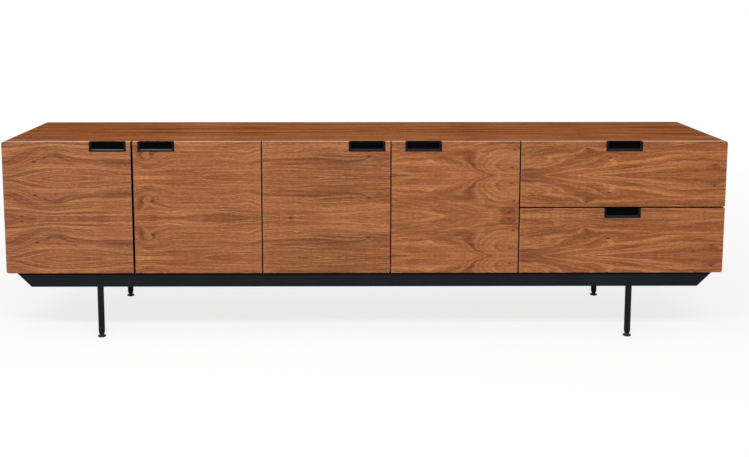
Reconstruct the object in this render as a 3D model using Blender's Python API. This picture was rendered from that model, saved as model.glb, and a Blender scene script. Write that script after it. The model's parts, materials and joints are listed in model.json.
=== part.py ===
"""A low walnut buffet cabinet on a black steel base, with four hinged doors and two drawers.

Units are metres. +Z is up, the front faces -Y, and the origin is on the floor under the middle.
Every piece is its own object, and what moves has its origin on its joint's axis.
"""

import math

import bmesh
import bpy
from mathutils import Matrix, Vector

# Overall sizes
DOOR_PITCH = 0.381
DRAWER_SECTION = 0.610
DOORS = 4
WIDTH = DOORS * DOOR_PITCH + DRAWER_SECTION
DEPTH = 0.457
CASE_HEIGHT = 0.396

# Clearances
FIT = 0.0003
BOARD_GAP = 0.0003
DOOR_STANDOFF = 0.002
MIDDLE_PAIR_GAP = 0.006
FRONT_GAP = 0.0032
DRAWER_FRONT_GAP = 0.004

# Case boards
BOARD = 0.019
CASE_CORNER = 0.008
CASE_CORNER_STEPS = 5
BACK_THICKNESS = 0.006
BACK_REBATE = 0.009
SHELF_THICKNESS = 0.018
SHELF_SETBACK = 0.025
SHELF_BACK_GAP = 0.003
SHELF_END_GAP = 0.001
SHELF_PIN_RADIUS = 0.0025
SHELF_PIN_INSET = 0.050
SHELF_PIN_DEPTH = 0.0075
PIN_HOLE_SPARE = 0.001
PIN_SIDES = 10
PIN_HOLE_PITCH = 0.032
PIN_HOLES_ABOVE = 2
PIN_HOLES_BELOW = 2
SHELF_HEIGHT = 0.170

# Doors and drawer fronts
FRONT_THICKNESS = 0.019
FRONT_ROUND = 0.003
FRONT_BACK_ROUND = 0.0015
FRONT_EASE = 0.0010
ROUND_STEPS = 4
UPPER_FRONT_HEIGHT = 0.196

# Recessed pulls: a black pressed pan, open at the front and at the top edge
PULL_WIDTH = 0.108
PULL_HEIGHT = 0.0295
PULL_RIM = 0.0035
PULL_RIM_THICKNESS = 0.0008
PULL_RIM_BED = 0.0003
PULL_CORNER = 0.003
PULL_DEPTH = 0.0130
PULL_DRAFT = 0.0038
PULL_WALL = 0.0012
PULL_CORNER_STEPS = 3
DOOR_PULL_FROM_EDGE = (0.013, 0.015, 0.015, 0.040)
PULL_PROUD = PULL_RIM_BED + PULL_RIM_THICKNESS

# Concealed hinges
HINGE_AXIS_IN = 0.005
HINGE_AXIS_BACK = 0.005
HINGE_FROM_END = 0.075
CUP_RADIUS = 0.0165
CUP_DEPTH = 0.0115
CUP_FROM_EDGE = 0.0225
CUP_RIM = 0.0025
CUP_RIM_THICKNESS = 0.0010
CUP_WING_LENGTH = 0.056
CUP_WING_WIDTH = 0.013
CUP_SIDES = 28
ARM_HEIGHT = 0.017
ARM_REACH = 0.056
ARM_TOP = 0.013
ARM_NOSE = 0.0005
ARM_NOSE_THICKNESS = 0.007
ARM_CRANK = 0.020
ARM_SKIN = 0.0016
PLATE_THICKNESS = 0.004
PLATE_FROM_FRONT = 0.028
PLATE_LENGTH = 0.020
PLATE_WING = 0.050

# Drawers
DRAWER_TOP_CLEARANCE = 0.020
DRAWER_BACK_CLEARANCE = 0.030
DRAWER_BOX_RISE = 0.009
DRAWER_WALL = 0.012
DRAWER_BOTTOM = 0.006
DRAWER_GROOVE = 0.006
DRAWER_GROOVE_UP = 0.010

# Telescopic runners, three nested channels a side
RUNNER_SPACE = 0.0127
RUNNER_SETBACK = 0.004
RUNNER_UP = 0.060
RUNNER_HEIGHT = 0.045
RUNNER_SHEET = 0.0012
RUNNER_PLAY = 0.0004
RUNNER_FLANGE = 0.008

# Steel base
BASE_HEIGHT = 0.043
BASE_END_INSET = 0.029
BASE_SETBACK = 0.006
BASE_SHEET = 0.0025
BASE_FLANGE = 0.030
BASE_END_LIP = 0.016
BASE_CORNER = 0.006
BASE_CORNER_STEPS = 4
CROSS_RAIL_WIDTH = 0.030

# Legs and levelling glides
LEG_RADIUS = 0.0095
LEG_LENGTH = 0.148
LEG_FROM_END = 0.274
LEG_FLARE = 0.0015
LEG_FLARE_HEIGHT = 0.005
FLARE_STEPS = 4
LEG_TIP_RADIUS = 0.0075
LEG_TIP_HEIGHT = 0.008
LEG_SIDES = 32
GLIDE_RADIUS = 0.0125
GLIDE_DISC = 0.004
GLIDE_DISC_EASE = 0.001
GLIDE_HEIGHT = 0.009
GLIDE_NECK_RADIUS = 0.006
GLIDE_STEM_RADIUS = 0.004
GLIDE_STEM_LENGTH = 0.025
GLIDE_STEM_SPARE = 0.002

# Places worked out from the sizes
FLOOR_TO_BASE = GLIDE_HEIGHT + LEG_LENGTH
CASE_BOTTOM = FLOOR_TO_BASE + BASE_HEIGHT
CASE_TOP = CASE_BOTTOM + CASE_HEIGHT
LEFT = -WIDTH / 2
RIGHT = WIDTH / 2
FRONT = -DEPTH / 2 + PULL_PROUD
FRONT_INNER = FRONT + FRONT_THICKNESS
CASE_FRONT = FRONT_INNER + DOOR_STANDOFF
BACK = DEPTH / 2
BACK_PANEL_FRONT = BACK - BACK_THICKNESS
INSIDE_BOTTOM = CASE_BOTTOM + BOARD
INSIDE_TOP = CASE_TOP - BOARD
INSIDE_LEFT = LEFT + BOARD
INSIDE_RIGHT = RIGHT - BOARD
PARTITION_LEFT_X = LEFT + 2 * DOOR_PITCH
PARTITION_RIGHT_X = LEFT + 4 * DOOR_PITCH
HINGE_Y = FRONT + HINGE_AXIS_BACK
DRAWER_SPLIT_Z = CASE_TOP - UPPER_FRONT_HEIGHT - DRAWER_FRONT_GAP / 2
DRAWER_BOX_FRONT = FRONT_INNER + FIT
DRAWER_BOX_BACK = BACK_PANEL_FRONT - DRAWER_BACK_CLEARANCE

# Colours: red, green, blue, roughness, metallic
WALNUT = (0.155, 0.070, 0.034, 0.42, 0.0)
WALNUT_INSIDE = (0.180, 0.092, 0.050, 0.50, 0.0)
BIRCH = (0.560, 0.400, 0.230, 0.50, 0.0)
BLACK_STEEL = (0.020, 0.021, 0.026, 0.45, 0.6)
BLACK_PULL = (0.014, 0.014, 0.017, 0.35, 0.7)
ZINC = (0.560, 0.560, 0.550, 0.32, 1.0)
NICKEL = (0.620, 0.600, 0.560, 0.28, 1.0)
GLIDE_BLACK = (0.025, 0.024, 0.024, 0.50, 0.0)

AXES = {
    "X": lambda a, b, along: (along, a, b),
    "Y": lambda a, b, along: (a, along, b),
    "Z": lambda a, b, along: (a, b, along),
}


# Helpers for meshes


def clear_scene():
    for thing in list(bpy.data.objects):
        bpy.data.objects.remove(thing, do_unlink=True)


def make_material(name, finish):
    material = bpy.data.materials.new(name)
    material.use_nodes = True
    shader = material.node_tree.nodes["Principled BSDF"]
    shader.inputs["Base Color"].default_value = (*finish[:3], 1.0)
    shader.inputs["Roughness"].default_value = finish[3]
    shader.inputs["Metallic"].default_value = finish[4]
    return material


def add_object(name, mesh_maker, finish=None):
    """A new object from a bmesh, with its faces pointing out. Without a finish it is a tool."""
    bmesh.ops.recalc_face_normals(mesh_maker, faces=mesh_maker.faces)
    mesh = bpy.data.meshes.new(name)
    mesh_maker.to_mesh(mesh)
    mesh_maker.free()
    piece = bpy.data.objects.new(name, mesh)
    bpy.context.collection.objects.link(piece)
    if finish:
        mesh.materials.append(make_material(name, finish))
    return piece


def loft(name, first, last, low, high, axis, finish=None):
    """A solid between two outlines of as many points, on planes at low and high along the axis."""
    place = AXES[axis]
    maker = bmesh.new()
    rings = []
    for outline, along in ((first, low), (last, high)):
        rings.append([maker.verts.new(place(a, b, along)) for a, b in outline])
    maker.faces.new(rings[0])
    maker.faces.new(rings[1])
    count = len(first)
    for i in range(count):
        j = (i + 1) % count
        maker.faces.new((rings[0][i], rings[0][j], rings[1][j], rings[1][i]))
    return add_object(name, maker, finish)


def prism(name, outline, low, high, axis, finish=None):
    return loft(name, outline, outline, low, high, axis, finish)


def rectangle(a_low, a_high, b_low, b_high):
    return [(a_low, b_low), (a_high, b_low), (a_high, b_high), (a_low, b_high)]


def box(name, low, high, finish=None):
    return prism(name, rectangle(low[0], high[0], low[1], high[1]), low[2], high[2], "Z", finish)


def rounded(corners, steps):
    """An outline with each corner (a, b, radius) rounded by an arc in so many steps."""
    outline = []
    for i, (a, b, radius) in enumerate(corners):
        here = Vector((a, b))
        if radius <= 0:
            outline.append((a, b))
            continue
        before = (Vector(corners[i - 1][:2]) - here).normalized()
        after = (Vector(corners[(i + 1) % len(corners)][:2]) - here).normalized()
        half = before.angle(after) / 2
        centre = here + (before + after).normalized() * (radius / math.sin(half))
        start = here + before * (radius / math.tan(half)) - centre
        end = here + after * (radius / math.tan(half)) - centre
        turn = math.atan2(start.cross(end), start.dot(end))
        for step in range(steps + 1):
            angle = turn * step / steps
            point = centre + Matrix.Rotation(angle, 2) @ start
            outline.append((point.x, point.y))
    return outline


def turned(name, profile, x, y, sides, finish=None):
    """A solid of revolution about a vertical line, from (radius, height) points, axis to axis."""
    maker = bmesh.new()
    points = [maker.verts.new((radius, 0, z)) for radius, z in profile]
    edges = [maker.edges.new(pair) for pair in zip(points, points[1:])]
    bmesh.ops.spin(
        maker,
        geom=points + edges,
        axis=(0, 0, 1),
        cent=(0, 0, 0),
        angle=2 * math.pi,
        steps=sides,
        use_merge=True,
    )
    bmesh.ops.remove_doubles(maker, verts=maker.verts, dist=1e-6)
    bmesh.ops.translate(maker, verts=maker.verts, vec=(x, y, 0))
    piece = add_object(name, maker, finish)
    piece.data.shade_smooth()
    piece.data.set_sharp_from_angle(angle=math.radians(35))
    return piece


def cylinder(name, centre, radius, low, high, axis, sides, finish=None):
    circle = []
    for i in range(sides):
        angle = 2 * math.pi * (i + 0.5) / sides
        circle.append((centre[0] + radius * math.cos(angle), centre[1] + radius * math.sin(angle)))
    return prism(name, circle, low, high, axis, finish)


def combine(piece, tool, operation):
    """Applies a Boolean with the tool to the piece, and removes the tool."""
    change = piece.modifiers.new(operation.lower(), "BOOLEAN")
    change.operation = operation
    change.solver = "EXACT"
    change.object = tool
    graph = bpy.context.evaluated_depsgraph_get()
    result = bpy.data.meshes.new_from_object(piece.evaluated_get(graph))
    piece.modifiers.clear()
    piece.data = result
    bpy.data.objects.remove(tool, do_unlink=True)


def cut(piece, tool):
    combine(piece, tool, "DIFFERENCE")


def join(piece, tool):
    combine(piece, tool, "UNION")


def set_origin(piece, point):
    """Moves the piece's origin to a point of the world, and leaves its shape where it is."""
    piece.data.transform(Matrix.Translation(-Vector(point)))
    piece.location = point


def ease_ends(piece, width, steps):
    """Bevels the rims of the top and bottom faces of an upright prism."""
    maker = bmesh.new()
    maker.from_mesh(piece.data)
    heights = [v.co.z for v in maker.verts]
    top, bottom = max(heights), min(heights)
    rims = []
    for edge in maker.edges:
        levels = {round(v.co.z, 6) for v in edge.verts}
        if levels == {round(top, 6)} or levels == {round(bottom, 6)}:
            rims.append(edge)
    bmesh.ops.bevel(maker, geom=rims, offset=width, segments=steps, profile=0.5, affect="EDGES")
    maker.to_mesh(piece.data)
    maker.free()


# Case


def round_case_corners(piece):
    """Rounds off what a board or a front has of the case's four long corners."""
    corners = [
        (LEFT, CASE_BOTTOM, CASE_CORNER),
        (RIGHT, CASE_BOTTOM, CASE_CORNER),
        (RIGHT, CASE_TOP, CASE_CORNER),
        (LEFT, CASE_TOP, CASE_CORNER),
    ]
    outline = rounded(corners, CASE_CORNER_STEPS)
    hull = prism("hull", outline, FRONT - BOARD, BACK + BOARD, "Y")
    combine(piece, hull, "INTERSECT")


def mitred_board(name, outer_start, outer_end, inner_end, inner_start):
    """A board of the case whose two ends are cut at 45 degrees, from its section in (x, z)."""
    outline = [outer_start, outer_end, inner_end, inner_start]
    return prism(name, outline, CASE_FRONT, BACK, "Y", WALNUT)


def rebate_for_back(board):
    """Cuts the step that the back panel sits in."""
    reach = BACK_REBATE + FIT
    tool = box(
        "rebate",
        (INSIDE_LEFT - reach, BACK_PANEL_FRONT - FIT, INSIDE_BOTTOM - reach),
        (INSIDE_RIGHT + reach, BACK + BOARD, INSIDE_TOP + reach),
    )
    cut(board, tool)


def shelf_pin_places():
    """The two depths at which a shelf has its pins."""
    shelf_front = CASE_FRONT + SHELF_SETBACK
    shelf_back = BACK_PANEL_FRONT - SHELF_BACK_GAP
    return shelf_front + SHELF_PIN_INSET, shelf_back - SHELF_PIN_INSET


def shelf_underside():
    return INSIDE_BOTTOM + SHELF_HEIGHT


def drill_pin_holes(board, face_x):
    """Two rows of holes for the shelf pins in one face of a board, so that the shelf can move."""
    radius = SHELF_PIN_RADIUS + FIT
    depth = SHELF_PIN_DEPTH + PIN_HOLE_SPARE
    for y in shelf_pin_places():
        for step in range(-PIN_HOLES_BELOW, PIN_HOLES_ABOVE + 1):
            z = shelf_underside() + step * PIN_HOLE_PITCH
            drill = cylinder("drill", (y, z), radius, face_x - depth, face_x + depth, "X", PIN_SIDES)
            cut(board, drill)


def build_case():
    slip = BOARD_GAP * math.sqrt(2)
    top = mitred_board(
        "top_panel",
        (LEFT, CASE_TOP),
        (RIGHT, CASE_TOP),
        (INSIDE_RIGHT, INSIDE_TOP),
        (INSIDE_LEFT, INSIDE_TOP),
    )
    bottom = mitred_board(
        "bottom_panel",
        (LEFT, CASE_BOTTOM),
        (RIGHT, CASE_BOTTOM),
        (INSIDE_RIGHT, INSIDE_BOTTOM),
        (INSIDE_LEFT, INSIDE_BOTTOM),
    )
    sides = []
    for name, outer, inner in (
        ("side_panel_left", LEFT, INSIDE_LEFT),
        ("side_panel_right", RIGHT, INSIDE_RIGHT),
    ):
        side = mitred_board(
            name,
            (outer, CASE_BOTTOM + slip),
            (outer, CASE_TOP - slip),
            (inner, INSIDE_TOP - slip),
            (inner, INSIDE_BOTTOM + slip),
        )
        sides.append(side)
    for board in (top, bottom, *sides):
        rebate_for_back(board)
        round_case_corners(board)
    drill_pin_holes(sides[0], INSIDE_LEFT)

    for name, x in (("partition_left", PARTITION_LEFT_X), ("partition_right", PARTITION_RIGHT_X)):
        board = box(
            name,
            (x - BOARD / 2, CASE_FRONT, INSIDE_BOTTOM + FIT),
            (x + BOARD / 2, BACK_PANEL_FRONT - 2 * FIT, INSIDE_TOP - FIT),
            WALNUT_INSIDE,
        )
        drill_pin_holes(board, x - BOARD / 2)
        if name == "partition_left":
            drill_pin_holes(board, x + BOARD / 2)

    box(
        "back_panel",
        (INSIDE_LEFT - BACK_REBATE, BACK_PANEL_FRONT, INSIDE_BOTTOM - BACK_REBATE),
        (INSIDE_RIGHT + BACK_REBATE, BACK, INSIDE_TOP + BACK_REBATE),
        WALNUT_INSIDE,
    )


def build_shelf(name, left, right):
    """An adjustable shelf between two faces, with its four pins, which rest in the drilled rows."""
    low = shelf_underside()
    shelf = box(
        name,
        (left + SHELF_END_GAP, CASE_FRONT + SHELF_SETBACK, low),
        (right - SHELF_END_GAP, BACK_PANEL_FRONT - SHELF_BACK_GAP, low + SHELF_THICKNESS),
        WALNUT_INSIDE,
    )
    inner_end = SHELF_END_GAP + SHELF_PIN_DEPTH
    for y in shelf_pin_places():
        for ends in (
            (left - SHELF_PIN_DEPTH, left + inner_end),
            (right - inner_end, right + SHELF_PIN_DEPTH),
        ):
            pin = cylinder("pin", (y, low), SHELF_PIN_RADIUS, ends[0], ends[1], "X", PIN_SIDES)
            join(shelf, pin)


# Doors, drawer fronts and their pulls


def front_slab(name, left, right, low, high):
    """A slab with softly rounded upright edges and eased ends."""
    outline = rounded(
        [
            (left, FRONT, FRONT_ROUND),
            (right, FRONT, FRONT_ROUND),
            (right, FRONT_INNER, FRONT_BACK_ROUND),
            (left, FRONT_INNER, FRONT_BACK_ROUND),
        ],
        ROUND_STEPS,
    )
    slab = prism(name, outline, low, high, "Z", WALNUT)
    ease_ends(slab, FRONT_EASE, 2)
    if left == LEFT or right == RIGHT:
        round_case_corners(slab)
    return slab


def pocket_outline(x, half_width, floor, top, radius):
    """The outline of a pull's pocket on the front: square above, with rounded lower corners."""
    return rounded(
        [
            (x - half_width, floor, radius),
            (x + half_width, floor, radius),
            (x + half_width, top, 0),
            (x - half_width, top, 0),
        ],
        PULL_CORNER_STEPS,
    )


def cut_pull_notch(slab, x, top):
    """The notch in a front's top edge that a pull sits in."""
    half = PULL_WIDTH / 2 - PULL_RIM + PULL_WALL + FIT
    floor = top - PULL_HEIGHT + PULL_RIM - PULL_WALL - FIT
    outline = pocket_outline(x, half, floor, top + PULL_HEIGHT, PULL_CORNER)
    cut(slab, prism("notch", outline, FRONT - PULL_DEPTH, FRONT + PULL_DEPTH + FIT, "Y"))


def build_pull(name, x, top):
    """A pressed pan: a thin rim on the wood, and walls that draw in towards a flat back."""
    rim_front = FRONT - PULL_PROUD
    half = PULL_WIDTH / 2
    floor = top - PULL_HEIGHT
    pan_back = FRONT + PULL_DEPTH
    rim = pocket_outline(x, half, floor, top, PULL_CORNER)
    pull = prism(name, rim, rim_front, FRONT - PULL_RIM_BED, "Y", BLACK_PULL)

    def pan(depth, wall, overlap):
        """The pan's outline at a depth behind the rim's front. wall thickens it outwards."""
        draft = PULL_DRAFT * depth / (pan_back - rim_front)
        inner_half = half - PULL_RIM - draft + wall
        inner_floor = floor + PULL_RIM + draft - wall
        return pocket_outline(x, inner_half, inner_floor, top + overlap, PULL_CORNER - PULL_WALL)

    depth = pan_back - rim_front
    lead = PULL_RIM_THICKNESS / 2
    body = loft("body", pan(lead, PULL_WALL, 0), pan(depth, PULL_WALL, 0), rim_front + lead, pan_back, "Y")
    join(pull, body)
    hollow_back = pan_back - PULL_WALL
    hollow = loft(
        "hollow",
        pan(-depth, 0, PULL_HEIGHT),
        pan(depth - PULL_WALL, 0, PULL_HEIGHT),
        rim_front - depth,
        hollow_back,
        "Y",
    )
    cut(pull, hollow)
    return pull


def hinge_heights():
    return CASE_BOTTOM + HINGE_FROM_END, CASE_TOP - HINGE_FROM_END


def add_hinge_cups(door, edge_x, inward):
    """Two hinge cups pressed into the door's back: a flange with two wings round an open cup."""
    cup_x = edge_x + inward * CUP_FROM_EDGE
    flange_back = FRONT_INNER + CUP_RIM_THICKNESS
    flange_seat = FRONT_INNER - CUP_RIM_THICKNESS
    for z in hinge_heights():
        flange = cylinder(
            "flange", (cup_x, z), CUP_RADIUS + CUP_RIM, flange_seat, flange_back, "Y", CUP_SIDES
        )
        wing_half = CUP_WING_WIDTH / 2
        wing = rounded(
            [
                (cup_x - wing_half, z - CUP_WING_LENGTH / 2, wing_half / 2),
                (cup_x + wing_half, z - CUP_WING_LENGTH / 2, wing_half / 2),
                (cup_x + wing_half, z + CUP_WING_LENGTH / 2, wing_half / 2),
                (cup_x - wing_half, z + CUP_WING_LENGTH / 2, wing_half / 2),
            ],
            3,
        )
        join(flange, prism("wing", wing, flange_seat, flange_back, "Y"))
        join(door, flange)
        cup_floor = FRONT_INNER - CUP_DEPTH
        bore = cylinder("bore", (cup_x, z), CUP_RADIUS, cup_floor, FRONT_INNER + BOARD, "Y", CUP_SIDES)
        cut(door, bore)


def door_edges():
    """Left and right edge of each door, from the pitch and the gaps between the fronts."""
    gaps = (0.0, MIDDLE_PAIR_GAP, FRONT_GAP, FRONT_GAP, FRONT_GAP)
    edges = []
    for i in range(DOORS):
        left = LEFT + i * DOOR_PITCH + gaps[i] / 2
        right = LEFT + (i + 1) * DOOR_PITCH - gaps[i + 1] / 2
        edges.append((left, right))
    return edges


def build_hinge_arm(name, face_x, inward, z):
    """The case's half of a hinge: a winged plate on the board, and a cranked arm that reaches
    forward to the mouth of the cup."""

    def at(out, behind):
        return face_x + inward * out, CASE_FRONT + behind

    base = FIT
    outline = [
        at(base + PLATE_THICKNESS, PLATE_FROM_FRONT - PLATE_LENGTH / 2),
        at(base + PLATE_THICKNESS, ARM_REACH),
        at(ARM_TOP, ARM_REACH),
        at(ARM_TOP, ARM_CRANK),
        at(ARM_TOP + ARM_SKIN, ARM_CRANK / 2),
        at(ARM_TOP + ARM_SKIN, -ARM_NOSE),
        at(ARM_TOP + ARM_SKIN - ARM_NOSE_THICKNESS, -ARM_NOSE),
        at(ARM_TOP + ARM_SKIN - ARM_NOSE_THICKNESS, ARM_CRANK / 2),
    ]
    arm = prism(name, outline, z - ARM_HEIGHT / 2, z + ARM_HEIGHT / 2, "Z", NICKEL)
    plate_a = at(base, PLATE_FROM_FRONT - PLATE_LENGTH / 2)
    plate_b = at(base + PLATE_THICKNESS + ARM_SKIN, PLATE_FROM_FRONT + PLATE_LENGTH / 2)
    x_low, x_high = sorted((plate_a[0], plate_b[0]))
    plate = box(
        "plate",
        (x_low, plate_a[1], z - PLATE_WING / 2),
        (x_high, plate_b[1], z + PLATE_WING / 2),
    )
    join(arm, plate)
    foot_a = at(base, PLATE_FROM_FRONT)
    foot_b = at(base + PLATE_THICKNESS + ARM_SKIN, ARM_REACH)
    x_low, x_high = sorted((foot_a[0], foot_b[0]))
    foot = box(
        "foot",
        (x_low, foot_a[1], z - ARM_HEIGHT / 2),
        (x_high, foot_b[1], z + ARM_HEIGHT / 2),
    )
    join(arm, foot)
    return arm


def build_doors():
    half_board = BOARD / 2
    carriers = (
        (INSIDE_LEFT, 1),
        (PARTITION_LEFT_X - half_board, -1),
        (PARTITION_LEFT_X + half_board, 1),
        (PARTITION_RIGHT_X - half_board, -1),
    )
    for i, (left, right) in enumerate(door_edges()):
        number = i + 1
        hinged_left = i % 2 == 0
        door = front_slab(f"door_{number}", left, right, CASE_BOTTOM, CASE_TOP)
        from_edge = DOOR_PULL_FROM_EDGE[i] + PULL_WIDTH / 2
        pull_x = right - from_edge if hinged_left else left + from_edge
        cut_pull_notch(door, pull_x, CASE_TOP)
        hinge_edge = left if hinged_left else right
        inward = 1 if hinged_left else -1
        add_hinge_cups(door, hinge_edge, inward)
        axis = (hinge_edge + inward * HINGE_AXIS_IN, HINGE_Y, CASE_BOTTOM)
        set_origin(door, axis)
        set_origin(build_pull(f"pull_door_{number}", pull_x, CASE_TOP), axis)
        face_x, into_bay = carriers[i]
        for place, z in zip(("bottom", "top"), hinge_heights()):
            build_hinge_arm(f"hinge_arm_{number}_{place}", face_x, into_bay, z)


# Drawers


def channel(outer, web, reach, height):
    """A channel's section in (x, z): its web starts at x = outer, its two flanges reach on."""
    step = math.copysign(web, reach)
    return [
        (outer, -height / 2),
        (outer + reach, -height / 2),
        (outer + reach, -height / 2 + web),
        (outer + step, -height / 2 + web),
        (outer + step, height / 2 - web),
        (outer + reach, height / 2 - web),
        (outer + reach, height / 2),
        (outer, height / 2),
    ]


def build_runner(drawer, side, face_x, inward, z):
    """One telescopic runner: a channel on the case, one on the drawer, and one between them."""
    start = CASE_FRONT + RUNNER_SETBACK
    end = DRAWER_BOX_BACK
    reach = RUNNER_SHEET + RUNNER_FLANGE
    nest = 2 * (RUNNER_SHEET + RUNNER_PLAY)
    members = (
        ("case", FIT, reach, RUNNER_HEIGHT),
        ("middle", FIT + RUNNER_SHEET + RUNNER_PLAY, reach, RUNNER_HEIGHT - nest),
        ("drawer", RUNNER_SPACE - FIT, -reach, RUNNER_HEIGHT - 2 * nest),
    )
    for member, offset, flange, height in members:
        outline = []
        for a, b in channel(offset, RUNNER_SHEET, flange, height):
            outline.append((face_x + inward * a, z + b))
        piece = prism(f"runner_{member}_{drawer}_{side}", outline, start, end, "Y", ZINC)
        if member != "case":
            set_origin(piece, (face_x, start, z))


def build_drawer(drawer, low, high, floor, ceiling):
    """One drawer: an applied front with its pull, a box of four walls, a bottom in its groove,
    and a runner on each side. low and high bound the front, floor and ceiling the box's space."""
    bay_left = PARTITION_RIGHT_X + BOARD / 2
    front_left = PARTITION_RIGHT_X + FRONT_GAP / 2
    pull_x = (front_left + RIGHT) / 2
    origin = (pull_x, FRONT_INNER, low)

    front = front_slab(f"drawer_front_{drawer}", front_left, RIGHT, low, high)
    cut_pull_notch(front, pull_x, high)
    set_origin(front, origin)
    set_origin(build_pull(f"pull_drawer_{drawer}", pull_x, high), origin)

    left = bay_left + RUNNER_SPACE
    right = INSIDE_RIGHT - RUNNER_SPACE
    start = DRAWER_BOX_FRONT
    end = DRAWER_BOX_BACK
    base = floor + DRAWER_BOX_RISE
    top = ceiling - DRAWER_TOP_CLEARANCE
    walls = box(f"drawer_box_{drawer}", (left, start, base), (right, end, top), BIRCH)
    inside_low = (left + DRAWER_WALL, start + DRAWER_WALL, base - DRAWER_BOX_RISE)
    inside_high = (right - DRAWER_WALL, end - DRAWER_WALL, top + DRAWER_BOX_RISE)
    cut(walls, box("inside", inside_low, inside_high))
    groove_low = base + DRAWER_GROOVE_UP
    groove_high = groove_low + DRAWER_BOTTOM + 2 * FIT
    reach = DRAWER_WALL - DRAWER_GROOVE
    groove = box(
        "groove",
        (left + reach, start + reach, groove_low),
        (right - reach, end - reach, groove_high),
    )
    cut(walls, groove)
    set_origin(walls, origin)

    bottom = box(
        f"drawer_bottom_{drawer}",
        (left + reach + FIT, start + reach + FIT, groove_low + FIT),
        (right - reach - FIT, end - reach - FIT, groove_high - FIT),
        BIRCH,
    )
    set_origin(bottom, origin)
    runner_z = base + RUNNER_UP
    build_runner(drawer, "left", bay_left, 1, runner_z)
    build_runner(drawer, "right", INSIDE_RIGHT, -1, runner_z)


# Base, legs and glides


def base_outline(inset):
    """The base's front outline in (x, z), inset all round: ends at 45 degrees, and rounded
    lower corners. A sloping end that moves in by the inset moves by its square root of 2 in x."""
    top = CASE_BOTTOM - FIT - inset
    bottom = FLOOR_TO_BASE + inset
    top_x = RIGHT - BASE_END_INSET - inset - inset * math.sqrt(2)
    bottom_x = top_x - (top - bottom)
    radius = max(BASE_CORNER - inset, BASE_SHEET / 2)
    corners = [
        (-bottom_x, bottom, radius),
        (bottom_x, bottom, radius),
        (top_x, top, 0),
        (-top_x, top, 0),
    ]
    return rounded(corners, BASE_CORNER_STEPS)


def base_end_start():
    """How far from the middle an end piece starts."""
    return RIGHT - BASE_END_INSET - BASE_HEIGHT - BASE_END_LIP


def build_base_rail(name, face, inward):
    """A long rail: a web with the base's whole outline, and a flange along its top and bottom."""
    web_back = face + inward * BASE_SHEET
    low, high = sorted((face, web_back))
    rail = prism(name, base_outline(0), low, high, "Y", BLACK_STEEL)
    low, high = sorted((face + inward * BASE_SHEET / 2, face + inward * BASE_FLANGE))
    reach = base_end_start() - FIT
    top = CASE_BOTTOM - FIT
    for z_low, z_high in ((FLOOR_TO_BASE, FLOOR_TO_BASE + BASE_SHEET), (top - BASE_SHEET, top)):
        join(rail, box("flange", (-reach, low, z_low), (reach, high, z_high)))


def build_base():
    front = FRONT + BASE_SETBACK
    back = BACK - BASE_SETBACK
    build_base_rail("base_front_rail", front, 1)
    build_base_rail("base_back_rail", back, -1)

    between = (front + BASE_SHEET + FIT, back - BASE_SHEET - FIT)
    past = BASE_FLANGE
    for name, side in (("base_end_left", -1), ("base_end_right", 1)):
        end = prism(name, base_outline(0), between[0], between[1], "Y", BLACK_STEEL)
        hollow = prism(
            "hollow", base_outline(BASE_SHEET), between[0] - past, between[1] + past, "Y"
        )
        cut(end, hollow)
        x_low, x_high = sorted((-side * WIDTH, side * base_end_start()))
        rest = box(
            "rest",
            (x_low, between[0] - past, FLOOR_TO_BASE - past),
            (x_high, between[1] + past, CASE_BOTTOM + past),
        )
        cut(end, rest)

    low = FLOOR_TO_BASE + BASE_SHEET + FIT
    high = CASE_BOTTOM - BASE_SHEET - 2 * FIT
    half = CROSS_RAIL_WIDTH / 2
    for side, x in (("left", LEFT + LEG_FROM_END), ("right", RIGHT - LEG_FROM_END)):
        name = f"base_cross_rail_{side}"
        tube = box(name, (x - half, between[0], low), (x + half, between[1], high), BLACK_STEEL)
        bore = box(
            "bore",
            (x - half + BASE_SHEET, between[0] - past, low + BASE_SHEET),
            (x + half - BASE_SHEET, between[1] + past, high - BASE_SHEET),
        )
        cut(tube, bore)


def leg_profile():
    """From the axis at the top, down the outside, and up the threaded bore for the glide."""
    top = FLOOR_TO_BASE - FIT
    bottom = GLIDE_HEIGHT
    bore = GLIDE_STEM_RADIUS + FIT
    bore_top = bottom + GLIDE_STEM_LENGTH + GLIDE_STEM_SPARE
    profile = [(0, top)]
    for step in range(FLARE_STEPS + 1):
        angle = math.radians(90) * step / FLARE_STEPS
        radius = LEG_RADIUS + LEG_FLARE * (1 - math.sin(angle))
        profile.append((radius, top - LEG_FLARE_HEIGHT * (1 - math.cos(angle))))
    profile += [
        (LEG_RADIUS, bottom + LEG_TIP_HEIGHT),
        (LEG_TIP_RADIUS, bottom),
        (bore, bottom),
        (bore, bore_top),
        (0, bore_top),
    ]
    return profile


def glide_profile():
    """A round foot with eased edges, a cone up to its neck, and a stem in the leg's bore."""
    shoulder = GLIDE_HEIGHT - FIT
    cone_foot = (GLIDE_RADIUS + GLIDE_NECK_RADIUS) / 2
    return [
        (0, 0),
        (GLIDE_RADIUS - GLIDE_DISC_EASE, 0),
        (GLIDE_RADIUS, GLIDE_DISC_EASE),
        (GLIDE_RADIUS, GLIDE_DISC - GLIDE_DISC_EASE),
        (GLIDE_RADIUS - GLIDE_DISC_EASE, GLIDE_DISC),
        (cone_foot, GLIDE_DISC + GLIDE_DISC_EASE),
        (GLIDE_NECK_RADIUS, shoulder),
        (GLIDE_STEM_RADIUS, shoulder),
        (GLIDE_STEM_RADIUS, GLIDE_HEIGHT + GLIDE_STEM_LENGTH),
        (0, GLIDE_HEIGHT + GLIDE_STEM_LENGTH),
    ]


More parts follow.
